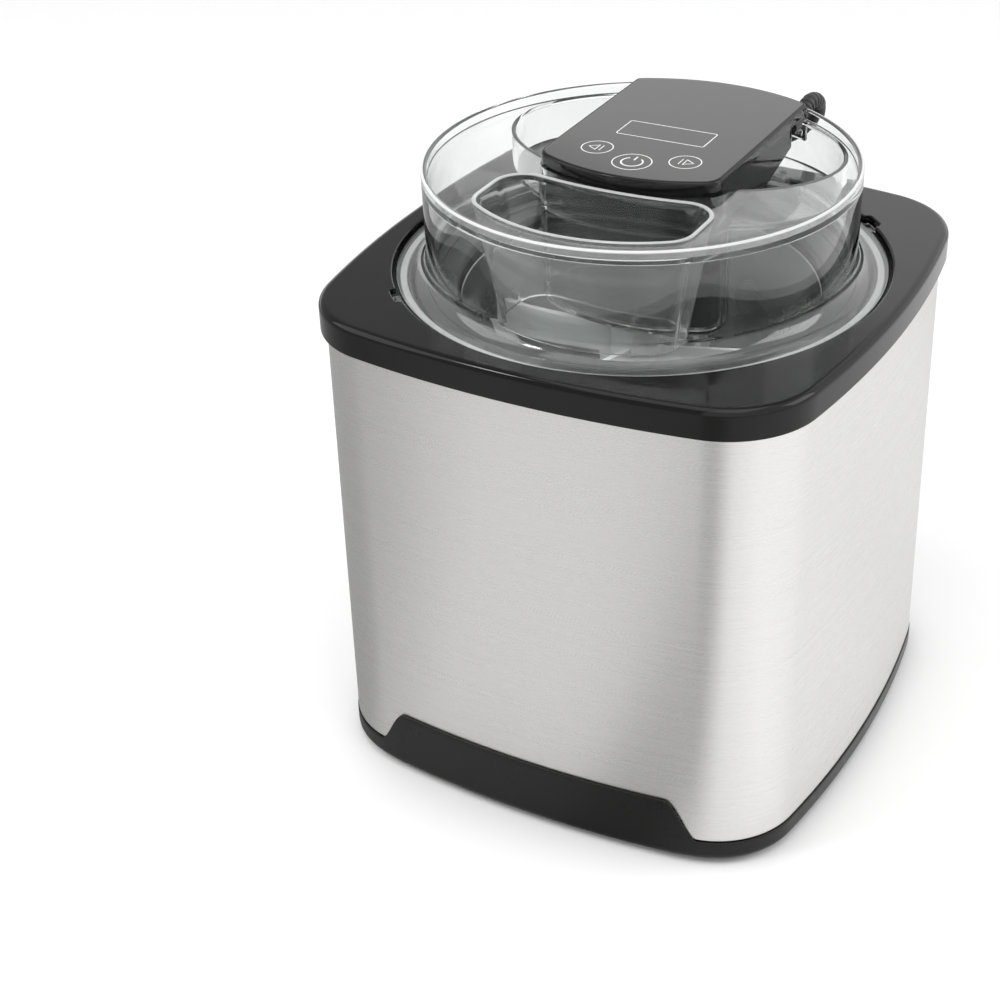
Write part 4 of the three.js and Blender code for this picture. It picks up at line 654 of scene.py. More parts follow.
def canister_rim():
    """Rim ring that covers the canister's top, with soft edges and one shallow groove."""
    r0, r1 = 80.4 * MM, high("canister_rim", 0)
    ring = [(r0, RING_UNDER), (r1, RING_UNDER), (r1, RING_TOP)]
    groove = [(r1 - 6.4 * MM, RING_TOP), (r1 - 7 * MM, RING_TOP - 0.5 * MM), (r1 - 7.6 * MM, RING_TOP)]
    chamfer = [(r0 + 2 * MM, RING_TOP), (r0, RING_TOP - 2 * MM)]
    cuts = np.array([0.3, 0.4, 1.4, 0.3, 0.2, 0.3, 1.0, 1.0]) * MM
    return lathe("canister_rim_skin", rounded(ring + groove + chamfer, cuts))


def lid_gasket():
    """Soft ring under the lid's flange, its section a rounded rectangle."""
    (_, _, z0), (x1, _, z1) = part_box("lid_gasket")
    corners = [(x1 - 3 * MM, z0), (x1, z0), (x1, z1), (x1 - 3 * MM, z1)]
    return lathe("gasket_skin", rounded(corners, 0.5 * MM))


# ---------------------------------------------------------------- lid


def drum_profile():
    """Section of the lid from the axis: top plate, rim bead, drum wall, fillet, flange and back inside."""
    s = settings().lid
    top = RIM_TOP
    plate = top - s.plate_drop
    flange = DECK_TOP - s.flange_recess
    r = s.drum_radius
    foot = r - 0.5 * MM
    bead = 1.1 * MM
    rim_in = r - s.rim_width
    fillet = 0.4 * MM
    points = [(0, plate), (rim_in - fillet - 4 * MM, plate)]
    points += arc((rim_in - fillet, plate + fillet), fillet, -np.pi / 2, 0, 5).tolist()
    points += arc((rim_in + bead, top - bead), bead, np.pi, np.pi / 2, 6).tolist()
    points += arc((r - bead, top - bead), bead, np.pi / 2, 0, 6).tolist()
    centre = (foot + s.fillet, flange + s.fillet)
    points += arc(centre, s.fillet, np.pi, 1.5 * np.pi, 12).tolist()
    edge = 0.9 * MM
    points += arc((s.flange_radius - edge, flange - edge), edge, np.pi / 2, 0, 5).tolist()
    low_edge = flange - s.flange_thickness
    points += [(s.flange_radius, low_edge + 0.5 * MM), (s.flange_radius - 0.15 * MM, low_edge + 0.15 * MM)]
    points += [(s.flange_radius - 0.5 * MM, low_edge)]
    points += arc(centre, s.fillet + s.flange_thickness, 1.5 * np.pi, np.pi, 12).tolist()
    inner = r - s.wall
    points += arc((inner - fillet, plate - s.wall - fillet), fillet, 0, np.pi / 2, 5).tolist()
    return points + [(0, plate - s.wall)]


# Where the cord leaves the head, and the radius of the strain relief's neck.
EXIT_X, EXIT_Z = 38 * MM, 271 * MM
NECK_RADIUS = 2.6 * MM


def chute_rows(wall, foot, plate):
    """Rows of (outline, height) of the chute's outside and of its hollow: both taper down from the top plate.

    Above the plate the wall goes on as a lip, round on both edges. The hollow starts just below the chute's
    foot, where its taper is a little past 1.
    """
    lip = plate + 1.2 * MM
    below = 1.02
    outside = [(chute_outline(wall, 1), foot), (chute_outline(wall), plate)]
    outside += rim_rows(lambda inward: chute_outline(wall - inward), 0.7 * MM, lip, 3)
    hollow = [(chute_outline(0, below), foot - 1.2 * MM), (chute_outline(0), plate)]
    hollow += rim_rows(chute_outline, 0.9 * MM, lip, 3) + [(chute_outline(0.9 * MM), lip + 2 * MM)]
    return outside, hollow


def cup_plan(plan, gap):
    """A plan of the head's cup: the housing's plan, 1 mm of clearance and the gap further out."""
    return lambda grow: head_outline(plan, MM + gap + grow)


def well_plan(gap):
    """The well's plan, the gap further out."""
    return lambda grow: well_outline(gap + grow)


def cord_slot(grow):
    """Block of the strain relief's slot out to the lid's edge, `grow` larger to its sides and below."""
    half = 3.9 * MM + 1.2 * MM
    low_corner = (EXIT_X - half - grow, 36 * MM, EXIT_Z - half - grow)
    return box_solid(low_corner, (EXIT_X + half + grow, 95.5 * MM, RIM_TOP + MM))


def locking_tab(angle):
    """Tab on the flange's edge: a rounded rectangle set out along the angle's own directions."""
    s = settings().lid
    under = DECK_TOP - s.flange_recess - s.flange_thickness
    along, across = np.array([np.cos(angle), np.sin(angle)]), np.array([-np.sin(angle), np.cos(angle)])
    u, v = 3.4 * MM, 5 * MM
    corners = rounded([(-u, -v), (u, -v), (u, v), (-u, v)], MM)
    tab = [along * (s.flange_radius + out) + across * side for out, side in corners]
    return solid([tab, tab], [under + 0.05 * MM, under + 1.7 * MM])


def clear_lid():
    """Clear moulding: drum, chute, well and head cup joined as solids, then their hollows cut out."""
    s = settings().lid
    wall = s.wall
    plate = RIM_TOP - s.plate_drop
    inside = plate - wall / 2
    well_floor = plate - s.well_depth
    cup_floor = HOUSING_BOTTOM - 1 * MM
    lid = lathe("lid_skin", drum_profile(), count=288, closed=False)
    outside, hollow = chute_rows(wall, plate - s.chute_depth, plate)
    within = solid([circle(s.drum_radius - wall / 2, count=192)] * 2, [cup_floor, inside])
    joined = [
        solid(*zip(*outside)),
        rounded_solid(well_plan(wall), well_floor - wall, inside, foot=3 * MM),
        rounded_solid(cup_plan(WELL_FRONT_PLAN, wall), well_floor - wall, inside, foot=3 * MM),
        rounded_solid(cup_plan(COLUMN_PLAN, wall), cup_floor - wall, well_floor - wall / 2, foot=3 * MM),
        rounded_solid(cup_plan(FRONT_BLOCK_PLAN, wall), cup_floor - wall, well_floor - wall / 2, foot=3 * MM),
        combine(cord_slot(wall), within, "INTERSECT"),
    ]
    cut = [
        solid(*zip(*hollow)),
        rounded_solid(well_plan(0), well_floor, plate, foot=1.5 * MM, flare=1.2 * MM),
        rounded_solid(cup_plan(WELL_FRONT_PLAN, 0), well_floor, plate, foot=1.5 * MM, flare=0.8 * MM),
        rounded_solid(cup_plan(COLUMN_PLAN, 0), cup_floor, well_floor, foot=1.5 * MM, flare=1.5 * MM),
        rounded_solid(cup_plan(FRONT_BLOCK_PLAN, 0), cup_floor, well_floor + MM, foot=1.5 * MM),
        cord_slot(0),
        solid([circle(11.4 * MM)] * 2, [cup_floor - wall - MM, cup_floor + MM]),
    ]
    for other in joined:
        combine(lid, other, "UNION")
    for other in cut:
        combine(lid, other, "DIFFERENCE")
    for angle in (np.pi / 4, np.pi * 5 / 4):
        combine(lid, locking_tab(angle), "UNION")
    return keep_flats(lid)


# ---------------------------------------------------------------- motor head

# Places of the cover's screws, and the middle and radius of each key.
SCREWS = [(x, y) for x in (-34 * MM, 34 * MM) for y in (1 * MM, 44 * MM)]
KEYS = [(-20.8 * MM, 0.0, 7.4 * MM), (0.0, -8.8 * MM, 9 * MM), (20.8 * MM, 0.0, 7.4 * MM)]


def pin(radius, z0, z1, x=0.0, y=0.0):
    """Upright cylinder between two heights."""
    return solid([circle(radius, (x, y), 48)] * 2, [z0, z1])


def relief_passage():
    """Round hole along Y for the strain relief's neck."""
    x, z = circle(NECK_RADIUS + 0.2 * MM, (EXIT_X, EXIT_Z), 48).T
    grid = np.stack([np.stack([x, np.full(48, y), z], axis=-1) for y in (62.5 * MM, 102.5 * MM)])
    return surface("cutter", grid, cap=True)


def tray_rows(foot, inset, edge, top):
    """Rows of (outline, height) of a tray that slopes up at its back, its foot chamfered by `edge`."""
    return [
        (head_outline(TRAY_PLAN, inset - edge), foot),
        (head_outline(TRAY_PLAN, inset - 0.3 * edge), foot + 0.3 * edge),
        (head_outline(TRAY_PLAN, inset), foot + edge),
        (head_outline(UPPER_PLAN, inset), foot + 8 * MM),
        (head_outline(UPPER_PLAN, inset), top),
    ]


def head_housing():
    """Housing: a gear column behind a wide front block, a tray, screw posts and the bush's hole."""
    wall = 2.2 * MM
    tray = RIM_TOP - settings().lid.plate_drop - settings().lid.well_depth + MM
    plans = [partial(head_outline, plan) for plan in (COLUMN_PLAN, FRONT_BLOCK_PLAN)]
    housing = solid(*zip(*tray_rows(tray, 0.0, 1.5 * MM, HOUSING_TOP)), name="housing_skin")
    for plan in plans:
        combine(housing, rounded_solid(plan, HOUSING_BOTTOM, tray + MM, foot=2 * MM), "UNION")
    hollow = tray_rows(tray + wall, -wall, 0.8 * MM, HOUSING_TOP + MM)
    combine(housing, solid(*zip(*hollow)), "DIFFERENCE")
    for plan in plans:
        combine(housing, solid([plan(-wall)] * 2, [HOUSING_BOTTOM + wall, tray + 2 * wall]), "DIFFERENCE")
    for x, y in SCREWS:
        combine(housing, pin(3.9 * MM, tray + wall / 2, POST_TOP, x, y), "UNION")
    for x, y in SCREWS:
        combine(housing, pin(1.8 * MM, tray - MM, POST_TOP + MM, x, y), "DIFFERENCE")
        combine(housing, pin(3.5 * MM, tray - MM, POST_TOP - 8 * MM, x, y), "DIFFERENCE")
    combine(housing, pin(9.1 * MM, HOUSING_BOTTOM - MM, HOUSING_BOTTOM + wall + MM), "DIFFERENCE")
    combine(housing, relief_passage(), "DIFFERENCE")
    return keep_flats(housing)


def head_cover():
    """Cover: chamfered foot, round edge, lip over the lid's bead, and recesses for film, keys and display."""
    under = low("control_overlay", 2)
    foot = COVER_FOOT
    edge = 1.2 * MM
    film_gap = 0.3 * MM
    s = settings().lid
    bead = s.drum_radius - s.rim_width - 0.8 * MM
    beyond, clear = s.flange_radius, RIM_TOP + 0.3 * MM
    rebate = [(bead, foot - MM), (beyond, foot - MM), (beyond, clear), (bead, clear)]
    rows = [
        (cover_outline(-0.8 * MM), foot),
        (cover_outline(-0.2 * MM), foot + 0.3 * MM),
        (cover_outline(0), foot + 0.8 * MM),
    ]
    rows += rim_rows(lambda inward: cover_outline(-0.75 * inward), edge, COVER_TOP, 6)
    piece = solid(*zip(*rows), name="cover_skin")
    film_recess = cover_outline(film_gap - settings().head.film_margin)
    cuts = [
        lathe("cutter", rebate),
        solid([film_recess] * 2, [under - 0.3 * MM, COVER_TOP + MM]),
        solid([head_outline(UPPER_PLAN, -4.2 * MM)] * 2, [foot - MM, under - 1.8 * MM]),
        box_solid((-21.1 * MM, 17.9 * MM, foot - MM), (21.1 * MM, 34.5 * MM, COVER_TOP)),
    ]
    cuts += [pin(r + 0.4 * MM, foot - MM, COVER_TOP, x, y) for x, y, r in KEYS]
    for other in cuts:
        combine(piece, other, "DIFFERENCE")
    for x, y in SCREWS:
        combine(piece, pin(3.6 * MM, POST_TOP + 0.3 * MM, under - 1.3 * MM, x, y), "UNION")
    for x, y in SCREWS:
        combine(piece, pin(1.8 * MM, POST_TOP, POST_TOP + 8 * MM, x, y), "DIFFERENCE")
    combine(piece, relief_passage(), "DIFFERENCE")
    return keep_flats(piece)


def overlay():
    """Glossy film that covers the whole top of the head, with a soft edge."""
    under = low("control_overlay", 2)
    margin = settings().head.film_margin
    edge = [(0, under), (0, COVER_TOP - 0.2 * MM), (0.06 * MM, COVER_TOP - 0.06 * MM), (0.2 * MM, COVER_TOP)]
    rows = [(cover_outline(-inward - margin), z) for inward, z in edge + [(0.8 * MM, COVER_TOP)]]
    return solid(*zip(*rows), name="film")


def ribbon(points, width, closed=False):
    """A flat line of that width in the XY plane, mitred at its corners: (outer edge, inner edge)."""
    points = np.asarray(points, float)
    if closed:
        before, after = points - np.roll(points, 1, axis=0), np.roll(points, -1, axis=0) - points
    else:
        steps = np.diff(points, axis=0)
        before, after = np.vstack([steps[:1], steps]), np.vstack([steps, steps[-1:]])
    normals = [np.stack([-step[:, 1], step[:, 0]], axis=-1) for step in (before, after)]
    n1, n2 = (normal / np.linalg.norm(normal, axis=1, keepdims=True) for normal in normals)
    mitre = (n1 + n2) / (1 + np.sum(n1 * n2, axis=1, keepdims=True))
    return points + mitre * width / 2, points - mitre * width / 2


def printed_icons():
    """Line icons on the film, as thin slabs: three key rings, their symbols and the display's frame."""
    width = settings().head.line_width
    strokes = [(circle(r - width, (x, y), 72), True, 1.0) for x, y, r in KEYS]
    x, y, r = KEYS[1]
    strokes.append((arc((x, y), r * 0.52, np.radians(125), np.radians(415), 40), False, 1.5))
    strokes.append((np.array([(x, y + r * 0.22), (x, y + r * 0.66)]), False, 1.5))
    arrow = [(0.52, 0.0), (-0.02, 0.36), (-0.02, -0.36)]
    for side, (x, y, r) in ((-1, KEYS[0]), (1, KEYS[2])):
        bar = x - side * r * 0.28
        strokes.append((np.array([(x + side * r * u, y + r * v) for u, v in arrow]), True, 0.9))
        strokes.append((np.array([(bar, y - r * 0.38), (bar, y + r * 0.38)]), False, 0.9))
    display = rounded([(-20.8, 18.2), (20.8, 18.2), (20.8, 34.2), (-20.8, 34.2)], 1.2)
    strokes.append((display * MM, True, 1.0))
    heights = [COVER_TOP + 0.03 * MM] * 2 + [COVER_TOP + 0.005 * MM] * 2
    slabs = []
    for line, closed, weight in strokes:
        outer, inner = ribbon(line, width * weight, closed)
        section = skin([outer, inner, inner, outer], heights)
        columns = section.shape[1]
        faces = [grid_faces(4, columns, True, closed)]
        if not closed:
            first = np.arange(4) * columns
            faces.append(np.stack([first, first[::-1] + columns - 1]))
        slabs.append((section.reshape(-1, 3), np.concatenate(faces)))
    return mesh_object("icons", *gathered(slabs), 30)


# ---------------------------------------------------------------- mains cord

# Middle line of the cord from the head to the coil, and from the coil to the plug, in millimetres.
ROUTE = [
    (38, 76, 271), (38, 84, 271.1), (38.2, 91, 273), (38.6, 97.5, 274.8),
    (39, 104, 273.4), (38.6, 109.8, 268.2), (36.2, 113.8, 260.8), (30.6, 117.4, 253),
    (22, 120.8, 247), (11.8, 124, 242), (2.8, 127.2, 236.6), (-3.6, 131.2, 228.6),
    (-7.6, 134.4, 217.5), (-10, 136, 200), (-12, 136.6, 165), (-13.4, 136.8, 125),
    (-14.6, 137, 85), (-15.8, 138, 50), (-16.4, 140.4, 30), (-16.8, 146, 14.4),
    (-17.2, 157, 5.6), (-17.6, 172, 3.5), (-17.9, 190, 3.8), (-17.9, 211.9, 4.1),
]
TAIL = [(-92.2, 200, 10.3), (-92.6, 188, 10), (-93, 176, 9.7), (-93.2, 166, 9.6)]
COIL_CENTRE = (-55 * MM, 212 * MM)
COIL_LOW = 4.1 * MM


def coil_turns():
    """Three and a half turns in two layers: outer and inner below, then inner and outer above.

    Each change eases over an eighth of a turn: the radius in by a diameter after 0.875 turns, the height up
    by a diameter after 1.75 turns, and the radius out again after 2.625 turns.
    """
    s = settings().cord
    per_turn, ease = 16, 0.125
    turn = np.arange(1, 3.5 * per_turn + 1) / per_turn
    inward = smoothstep((turn - 0.875) / ease) - smoothstep((turn - 2.625) / ease)
    up = smoothstep((turn - 1.75) / ease)
    plan = polar(TURN * turn, s.coil_radius + s.diameter * (0.5 - inward), COIL_CENTRE)
    return np.column_stack([plan, COIL_LOW + s.diameter * up])


def mains_cord():
    """The cord as one open curve through the route, the coil and the tail."""
    s = settings().cord
    points = np.concatenate([np.array(ROUTE) * MM, coil_turns(), np.array(TAIL) * MM])
    curve = bpy.data.curves.new("mains_cord", "CURVE")
    curve.dimensions = "3D"
    curve.bevel_depth = s.diameter / 2
    curve.bevel_resolution = 5
    curve.resolution_u = 10
    curve.use_fill_caps = True
    spline = curve.splines.new("BEZIER")
    spline.bezier_points.add(len(points) - 1)
    spline.bezier_points.foreach_set("co", points.reshape(-1))
    for point in spline.bezier_points:
        point.handle_left_type = point.handle_right_type = "AUTO"
    return add_object("mains_cord", curve)


def tube(name, path, radii):
    """Round sections of the given radii, square to the path, each with one axis square to X."""
    forward = np.gradient(path, axis=0)
    forward /= np.linalg.norm(forward, axis=1, keepdims=True)
    side = np.cross(forward, [1.0, 0.0, 0.0])
    side /= np.linalg.norm(side, axis=1, keepdims=True)
    other = np.cross(forward, side)
    angle = whole_turn(48)
    ring = side[:, None] * np.cos(angle)[None, :, None] + other[:, None] * np.sin(angle)[None, :, None]
    return surface(name, path[:, None] + ring * np.asarray(radii)[:, None, None], cap=True, sharp=50)


def strain_relief():
    """Tapered sleeve: a neck that runs into the head, a collar and eight ribs.

    With t the share of the way along it, the radius is 4 - 0.55 t mm, and dips by 0.55 mm between the ribs.
    """
    s = settings().cord
    ribs, first_rib, last_rib = 8, 0.22, 0.92
    path = catmull_rom(np.array(ROUTE) * MM, 60)
    run = travelled(path)
    stations = np.linspace(0, s.relief_length, 160)
    path = np.stack([np.interp(stations, run, path[:, k]) for k in range(3)], axis=-1)
    t = stations / s.relief_length
    rib = smoothstep((np.cos(TURN * ribs * (t - first_rib) / (last_rib - first_rib)) + 0.35) / 0.5)
    radius = (4.0 - 0.55 * t) * MM
    radius = np.where((t > first_rib) & (t < last_rib), radius - 0.55 * MM * (1 - rib), radius)
    radius[-1] -= 0.15 * MM
    neck = np.array([(EXIT_X, y * MM, EXIT_Z) for y in (69, 72.9, 73.1)])
    radii = np.concatenate([[NECK_RADIUS, NECK_RADIUS, radius[0]], radius])
    return tube("relief", np.concatenate([neck, path]), radii)


def cord_tie():
    """Flat strap round the coil's section: a rounded rectangle in the (radius, height) plane."""
    s = settings().cord
    r0, r1 = s.coil_radius - 1.03 * s.diameter - 0.6 * MM, s.coil_radius + 1.03 * s.diameter
    z0, z1 = COIL_LOW - 0.53 * s.diameter, COIL_LOW + 1.53 * s.diameter
    angle = np.radians(60)
    out, across = np.array([np.cos(angle), np.sin(angle)]), np.array([-np.sin(angle), np.cos(angle)])
    rows = []
    for grow, shift in ((0.65, -5.8), (0.75, -5.6), (0.75, 5.6), (0.65, 5.8), (0.2, 5.8), (0.2, -5.8)):
        g = grow * MM
        corners = [(r0 - g, z0 - g), (r1 + g, z0 - g), (r1 + g, z1 + g), (r0 - g, z1 + g)]
        line = rounded(corners, 2 * MM + g, 8)
        plan = np.array(COIL_CENTRE) + line[:, :1] * out + shift * MM * across
        rows.append(np.concatenate([plan, line[:, 1:]], axis=-1))
    return surface("tie", np.array(rows), wrap_rows=True)


PLUG_AT = np.array([-93.2, 165.7, 9.6]) * MM


def mains_plug():
    """Moulded plug along -Y, with finger grooves: superellipse sections that swell to a flat face.

    A section is (a |cos t|^(2/p), b |sin t|^(2/p)) with the signs of cos t and sin t.
    """
    # Distance from the cord, half width, half height and power of each section, in millimetres.
    sections = [
        (0, 3.6, 3.6, 2), (0.4, 4.4, 4.4, 2), (1.2, 5, 5, 2), (5, 5.3, 5.2, 2),
        (9, 6, 5.5, 2.2), (12, 8.6, 7, 2.6), (15, 11.2, 8.3, 3), (17, 11.8, 8.7, 3.4),
        (19, 11.3, 8.5, 3.4), (21, 11.9, 8.7, 3.4), (23, 11.4, 8.5, 3.4), (25, 12, 8.8, 3.6),
        (27.4, 12, 8.8, 3.6), (28.5, 11.6, 8.5, 3.6), (29, 10.8, 7.8, 3.6),
    ]
    z, a, b, power = catmull_rom(np.array(sections, float), 4).T[:, :, None]
    wave = np.stack([np.cos(whole_turn(96)), np.sin(whole_turn(96))])
    across, up = (np.sign(w) * np.abs(w) ** (2 / power) for w in wave)
    grid = np.stack(np.broadcast_arrays(a * across, -z, b * up), axis=-1) * MM
    return surface("plug", grid + PLUG_AT, cap=True)


def plug_blades():
    """Two flat blades with round ends and soft edges: an outline in the (Y, Z) plane given a thickness."""
    outline = rounded([(-28, -3.1), (-45, -3.1), (-45, 3.1), (-28, 3.1)], [0.1, 2.2, 2.2, 0.1], 8) * MM
    middle = outline.mean(axis=0)
    blades = []
    for x in (-6.35, 6.35):
        rows = []
        for shift, shrink in ((-0.75, 0.9), (-0.5, 1.0), (0.5, 1.0), (0.75, 0.9)):
            y, z = (middle + (outline - middle) * [1 - (1 - shrink) * 0.3, shrink]).T
            rows.append(np.stack([np.full(len(y), (x + shift) * MM), y, z], axis=-1))
        grid = capped(np.array(rows))
        blades.append((grid.reshape(-1, 3) + PLUG_AT, grid_faces(*grid.shape[:2])))
    return mesh_object("plug_blades", *gathered(blades))


# ---------------------------------------------------------------- finishes


class Tree:
    """Short calls for the node tree of a material or a world."""

    def __init__(self, owner):
        """Turns the owner's nodes on. A material's shader is its Principled BSDF."""
        owner.use_nodes = True
        self.nodes = owner.node_tree.nodes
        self.link = owner.node_tree.links.new
        self.shader = self.nodes.get("Principled BSDF")

    def add(self, kind, inputs=(), **values):
        """A node with settings by name and inputs by name or number, each of them a value or a socket."""
        node = self.nodes.new("ShaderNode" + kind)
        for key, value in values.items():
            setattr(node, key, value)
        for key, value in dict(inputs).items():
            if isinstance(value, bpy.types.NodeSocket):
                self.link(value, node.inputs[key])
            else:
                node.inputs[key].default_value = value
        return node

    def place(self, stretch=(1.0, 1.0, 1.0)):
        """Object coordinates, stretched."""
        coordinates = self.add("TexCoord").outputs["Object"]
        return self.add("Mapping", {"Vector": coordinates, "Scale": stretch}).outputs["Vector"]

    def noise(self, vector, scale, detail=2.0):
        """Noise of that many cells per metre, from 0 to 1."""
        return self.add("TexNoise", {"Vector": vector, "Scale": scale, "Detail": detail}).outputs["Fac"]

    def math(self, operation, *values):
        """The result of one sum on values or sockets."""
        return self.add("Math", dict(enumerate(values)), operation=operation).outputs["Value"]

    def ramp(self, value, start, end, low_value=0.0, high_value=1.0):
        """An even change from low_value to high_value while the value goes from start to end."""
        ends = {"From Min": start, "From Max": end, "To Min": low_value, "To Max": high_value}
        return self.add("MapRange", {"Value": value, **ends}).outputs["Result"]

    def between(self, value, low_value, high_value):
        """Noise spread from about 0.3 to 0.7 made to run between two values."""
        return self.ramp(value, 0.3, 0.7, low_value, high_value)

    def shade(self, value, rgb, change):
        """A colour that gets darker and lighter by `change` with the value."""
        dark = [c * (1 - change) for c in rgb] + [1.0]
        light = [min(1.0, c * (1 + change)) for c in rgb] + [1.0]
        mix = self.add("Mix", {0: self.between(value, 0.0, 1.0), 6: dark, 7: light}, data_type="RGBA")
        return mix.outputs[2]

    def bump(self, height, depth, strength):
        """Relief of that depth in millimetres on the shader."""
        node = self.add("Bump", {"Height": height, "Distance": depth * MM, "Strength": strength})
        self.link(node.outputs["Normal"], self.shader.inputs["Normal"])

    def about_axis(self):
        """The X, Y and Z of a point on the piece, and its distance from the axis: the length of (x, y, 0)."""
        split = self.add("SeparateXYZ", {"Vector": self.place()})
        flat = self.add("CombineXYZ", {"X": split.outputs["X"], "Y": split.outputs["Y"]})
        distance = self.add("VectorMath", {0: flat.outputs["Vector"]}, operation="LENGTH")
        return split.outputs, distance.outputs["Value"]


def finish(name, rgb, roughness, grain=1500.0, broad=40.0, stretch=(1.0, 1.0, 1.0), depth=0.01, change=0.06,
           spread=0.04, **sockets):
    """A surface whose colour, roughness and relief all vary a little with noise on Object coordinates.

    grain and broad are noise scales per metre, depth is the relief in millimetres, and change and spread are
    how far colour and roughness wander.
    """
    material = bpy.data.materials.new(name)
    t = Tree(material)
    coordinates = t.place(stretch)
    fine, wide = t.noise(coordinates, grain), t.noise(coordinates, broad, 3.0)
    t.link(t.shade(wide, rgb, change), t.shader.inputs["Base Color"])
    t.link(t.between(wide, max(roughness - spread, 0.0), roughness + spread), t.shader.inputs["Roughness"])
    t.bump(fine, depth, 1.0)
    for socket, value in sockets.items():
        t.shader.inputs[socket.replace("_", " ")].default_value = value
    return material


def brushed_steel(rgb):
    """Steel brushed level round the body: noise drawn out along X and Y, quick to change only with height."""
    material = bpy.data.materials.new("brushed_steel")
    t = Tree(material)
    hair = t.noise(t.place((14.0, 14.0, 5200.0)), 1.0, 4.0)
    streak = t.noise(t.place((5.0, 5.0, 1500.0)), 1.0, 3.0)
    half = t.math("MULTIPLY", t.math("ADD", hair, streak), 0.5)
    t.link(t.shade(half, rgb, 0.035), t.shader.inputs["Base Color"])
    t.link(t.between(half, 0.24, 0.34), t.shader.inputs["Roughness"])
    t.bump(half, 0.004, 0.5)
    tangent = t.add("Tangent", direction_type="RADIAL", axis="Z")
    t.link(tangent.outputs["Tangent"], t.shader.inputs["Tangent"])
    t.shader.inputs["Metallic"].default_value = 1.0
    t.shader.inputs["Anisotropic"].default_value = 0.6
    t.shader.inputs["Anisotropic Rotation"].default_value = 0.25
    return material


def spun_aluminium(rgb):
    """Aluminium with fine turned rings: noise along the sum of the distance from the axis and the height."""
    material = finish("spun_aluminium", rgb, 0.3, grain=900, broad=30, depth=0.004, Metallic=1.0)
    t = Tree(material)
    place_of, reach = t.about_axis()
    rings = t.add("CombineXYZ", {"X": t.math("ADD", reach, place_of["Z"])})
    t.bump(t.noise(rings.outputs["Vector"], 1400.0, 4.0), 0.02, 0.5)
    return material


def clear_plastic(rgb):
    """Clear moulded plastic, with painted highlights of white on its rim's outer edge and its chute's lip,
    and a little white mixed in, most of it in the chute.

    The share of white is the largest of three: the painted highlight on the rim, the painted highlight on
    the lip, and the share in the chute or elsewhere. Shadow rays pass straight through, so light reaches what
    lies behind.
    """
    material = finish("clear_plastic", rgb, 0.012, grain=40, broad=25, depth=0.002, change=0.01, spread=0.01,
                      Transmission_Weight=1.0, IOR=1.49)
    t = Tree(material)
    through = t.add("BsdfTransparent", {"Color": (0.93, 0.94, 0.935, 1.0)})
    place_of, reach = t.about_axis()
    lid = settings().lid
    lip = RIM_TOP - lid.plate_drop + 0.7 * MM
    outer = lid.drum_radius - 1.4 * MM
    # Painted highlight: white diffuse on the rim's crown and outer edge.
    crown = t.ramp(place_of["Z"], RIM_TOP - 1.1 * MM, RIM_TOP - 0.6 * MM, 0.0, 0.7)
    rim = t.math("MULTIPLY", crown, t.ramp(reach, outer, outer + 0.5 * MM, 0.1, 1.0))
    # Painted highlight: white diffuse on the chute's lip.
    lip_height = t.ramp(place_of["Z"], lip - 0.2 * MM, lip, 0.0, 0.45)
    lip_highlight = t.math("MULTIPLY", lip_height, t.ramp(reach, 84 * MM, 85 * MM, 1.0, 0.0))
    # A little white diffuse mixed in, most of it in the chute in front of the head.
    before_head = t.ramp(place_of["Y"], -30 * MM, -29 * MM, 0.03, 0.003)
    chute = t.math("MULTIPLY", before_head, t.ramp(reach, 80 * MM, 81 * MM, 1.0, 0.1))
    white_share = t.math("MAXIMUM", t.math("MAXIMUM", rim, lip_highlight), chute)
    white = t.add("BsdfDiffuse", {"Color": (0.9, 0.9, 0.9, 1.0)})
    body = t.add("MixShader", {0: white_share, 1: t.shader.outputs["BSDF"], 2: white.outputs["BSDF"]})
    shadow = t.add("LightPath").outputs["Is Shadow Ray"]
    mix = t.add("MixShader", {0: shadow, 1: body.outputs["Shader"], 2: through.outputs["BSDF"]})
    t.link(mix.outputs["Shader"], t.nodes["Material Output"].inputs["Surface"])
    return material


FINISHES = {}


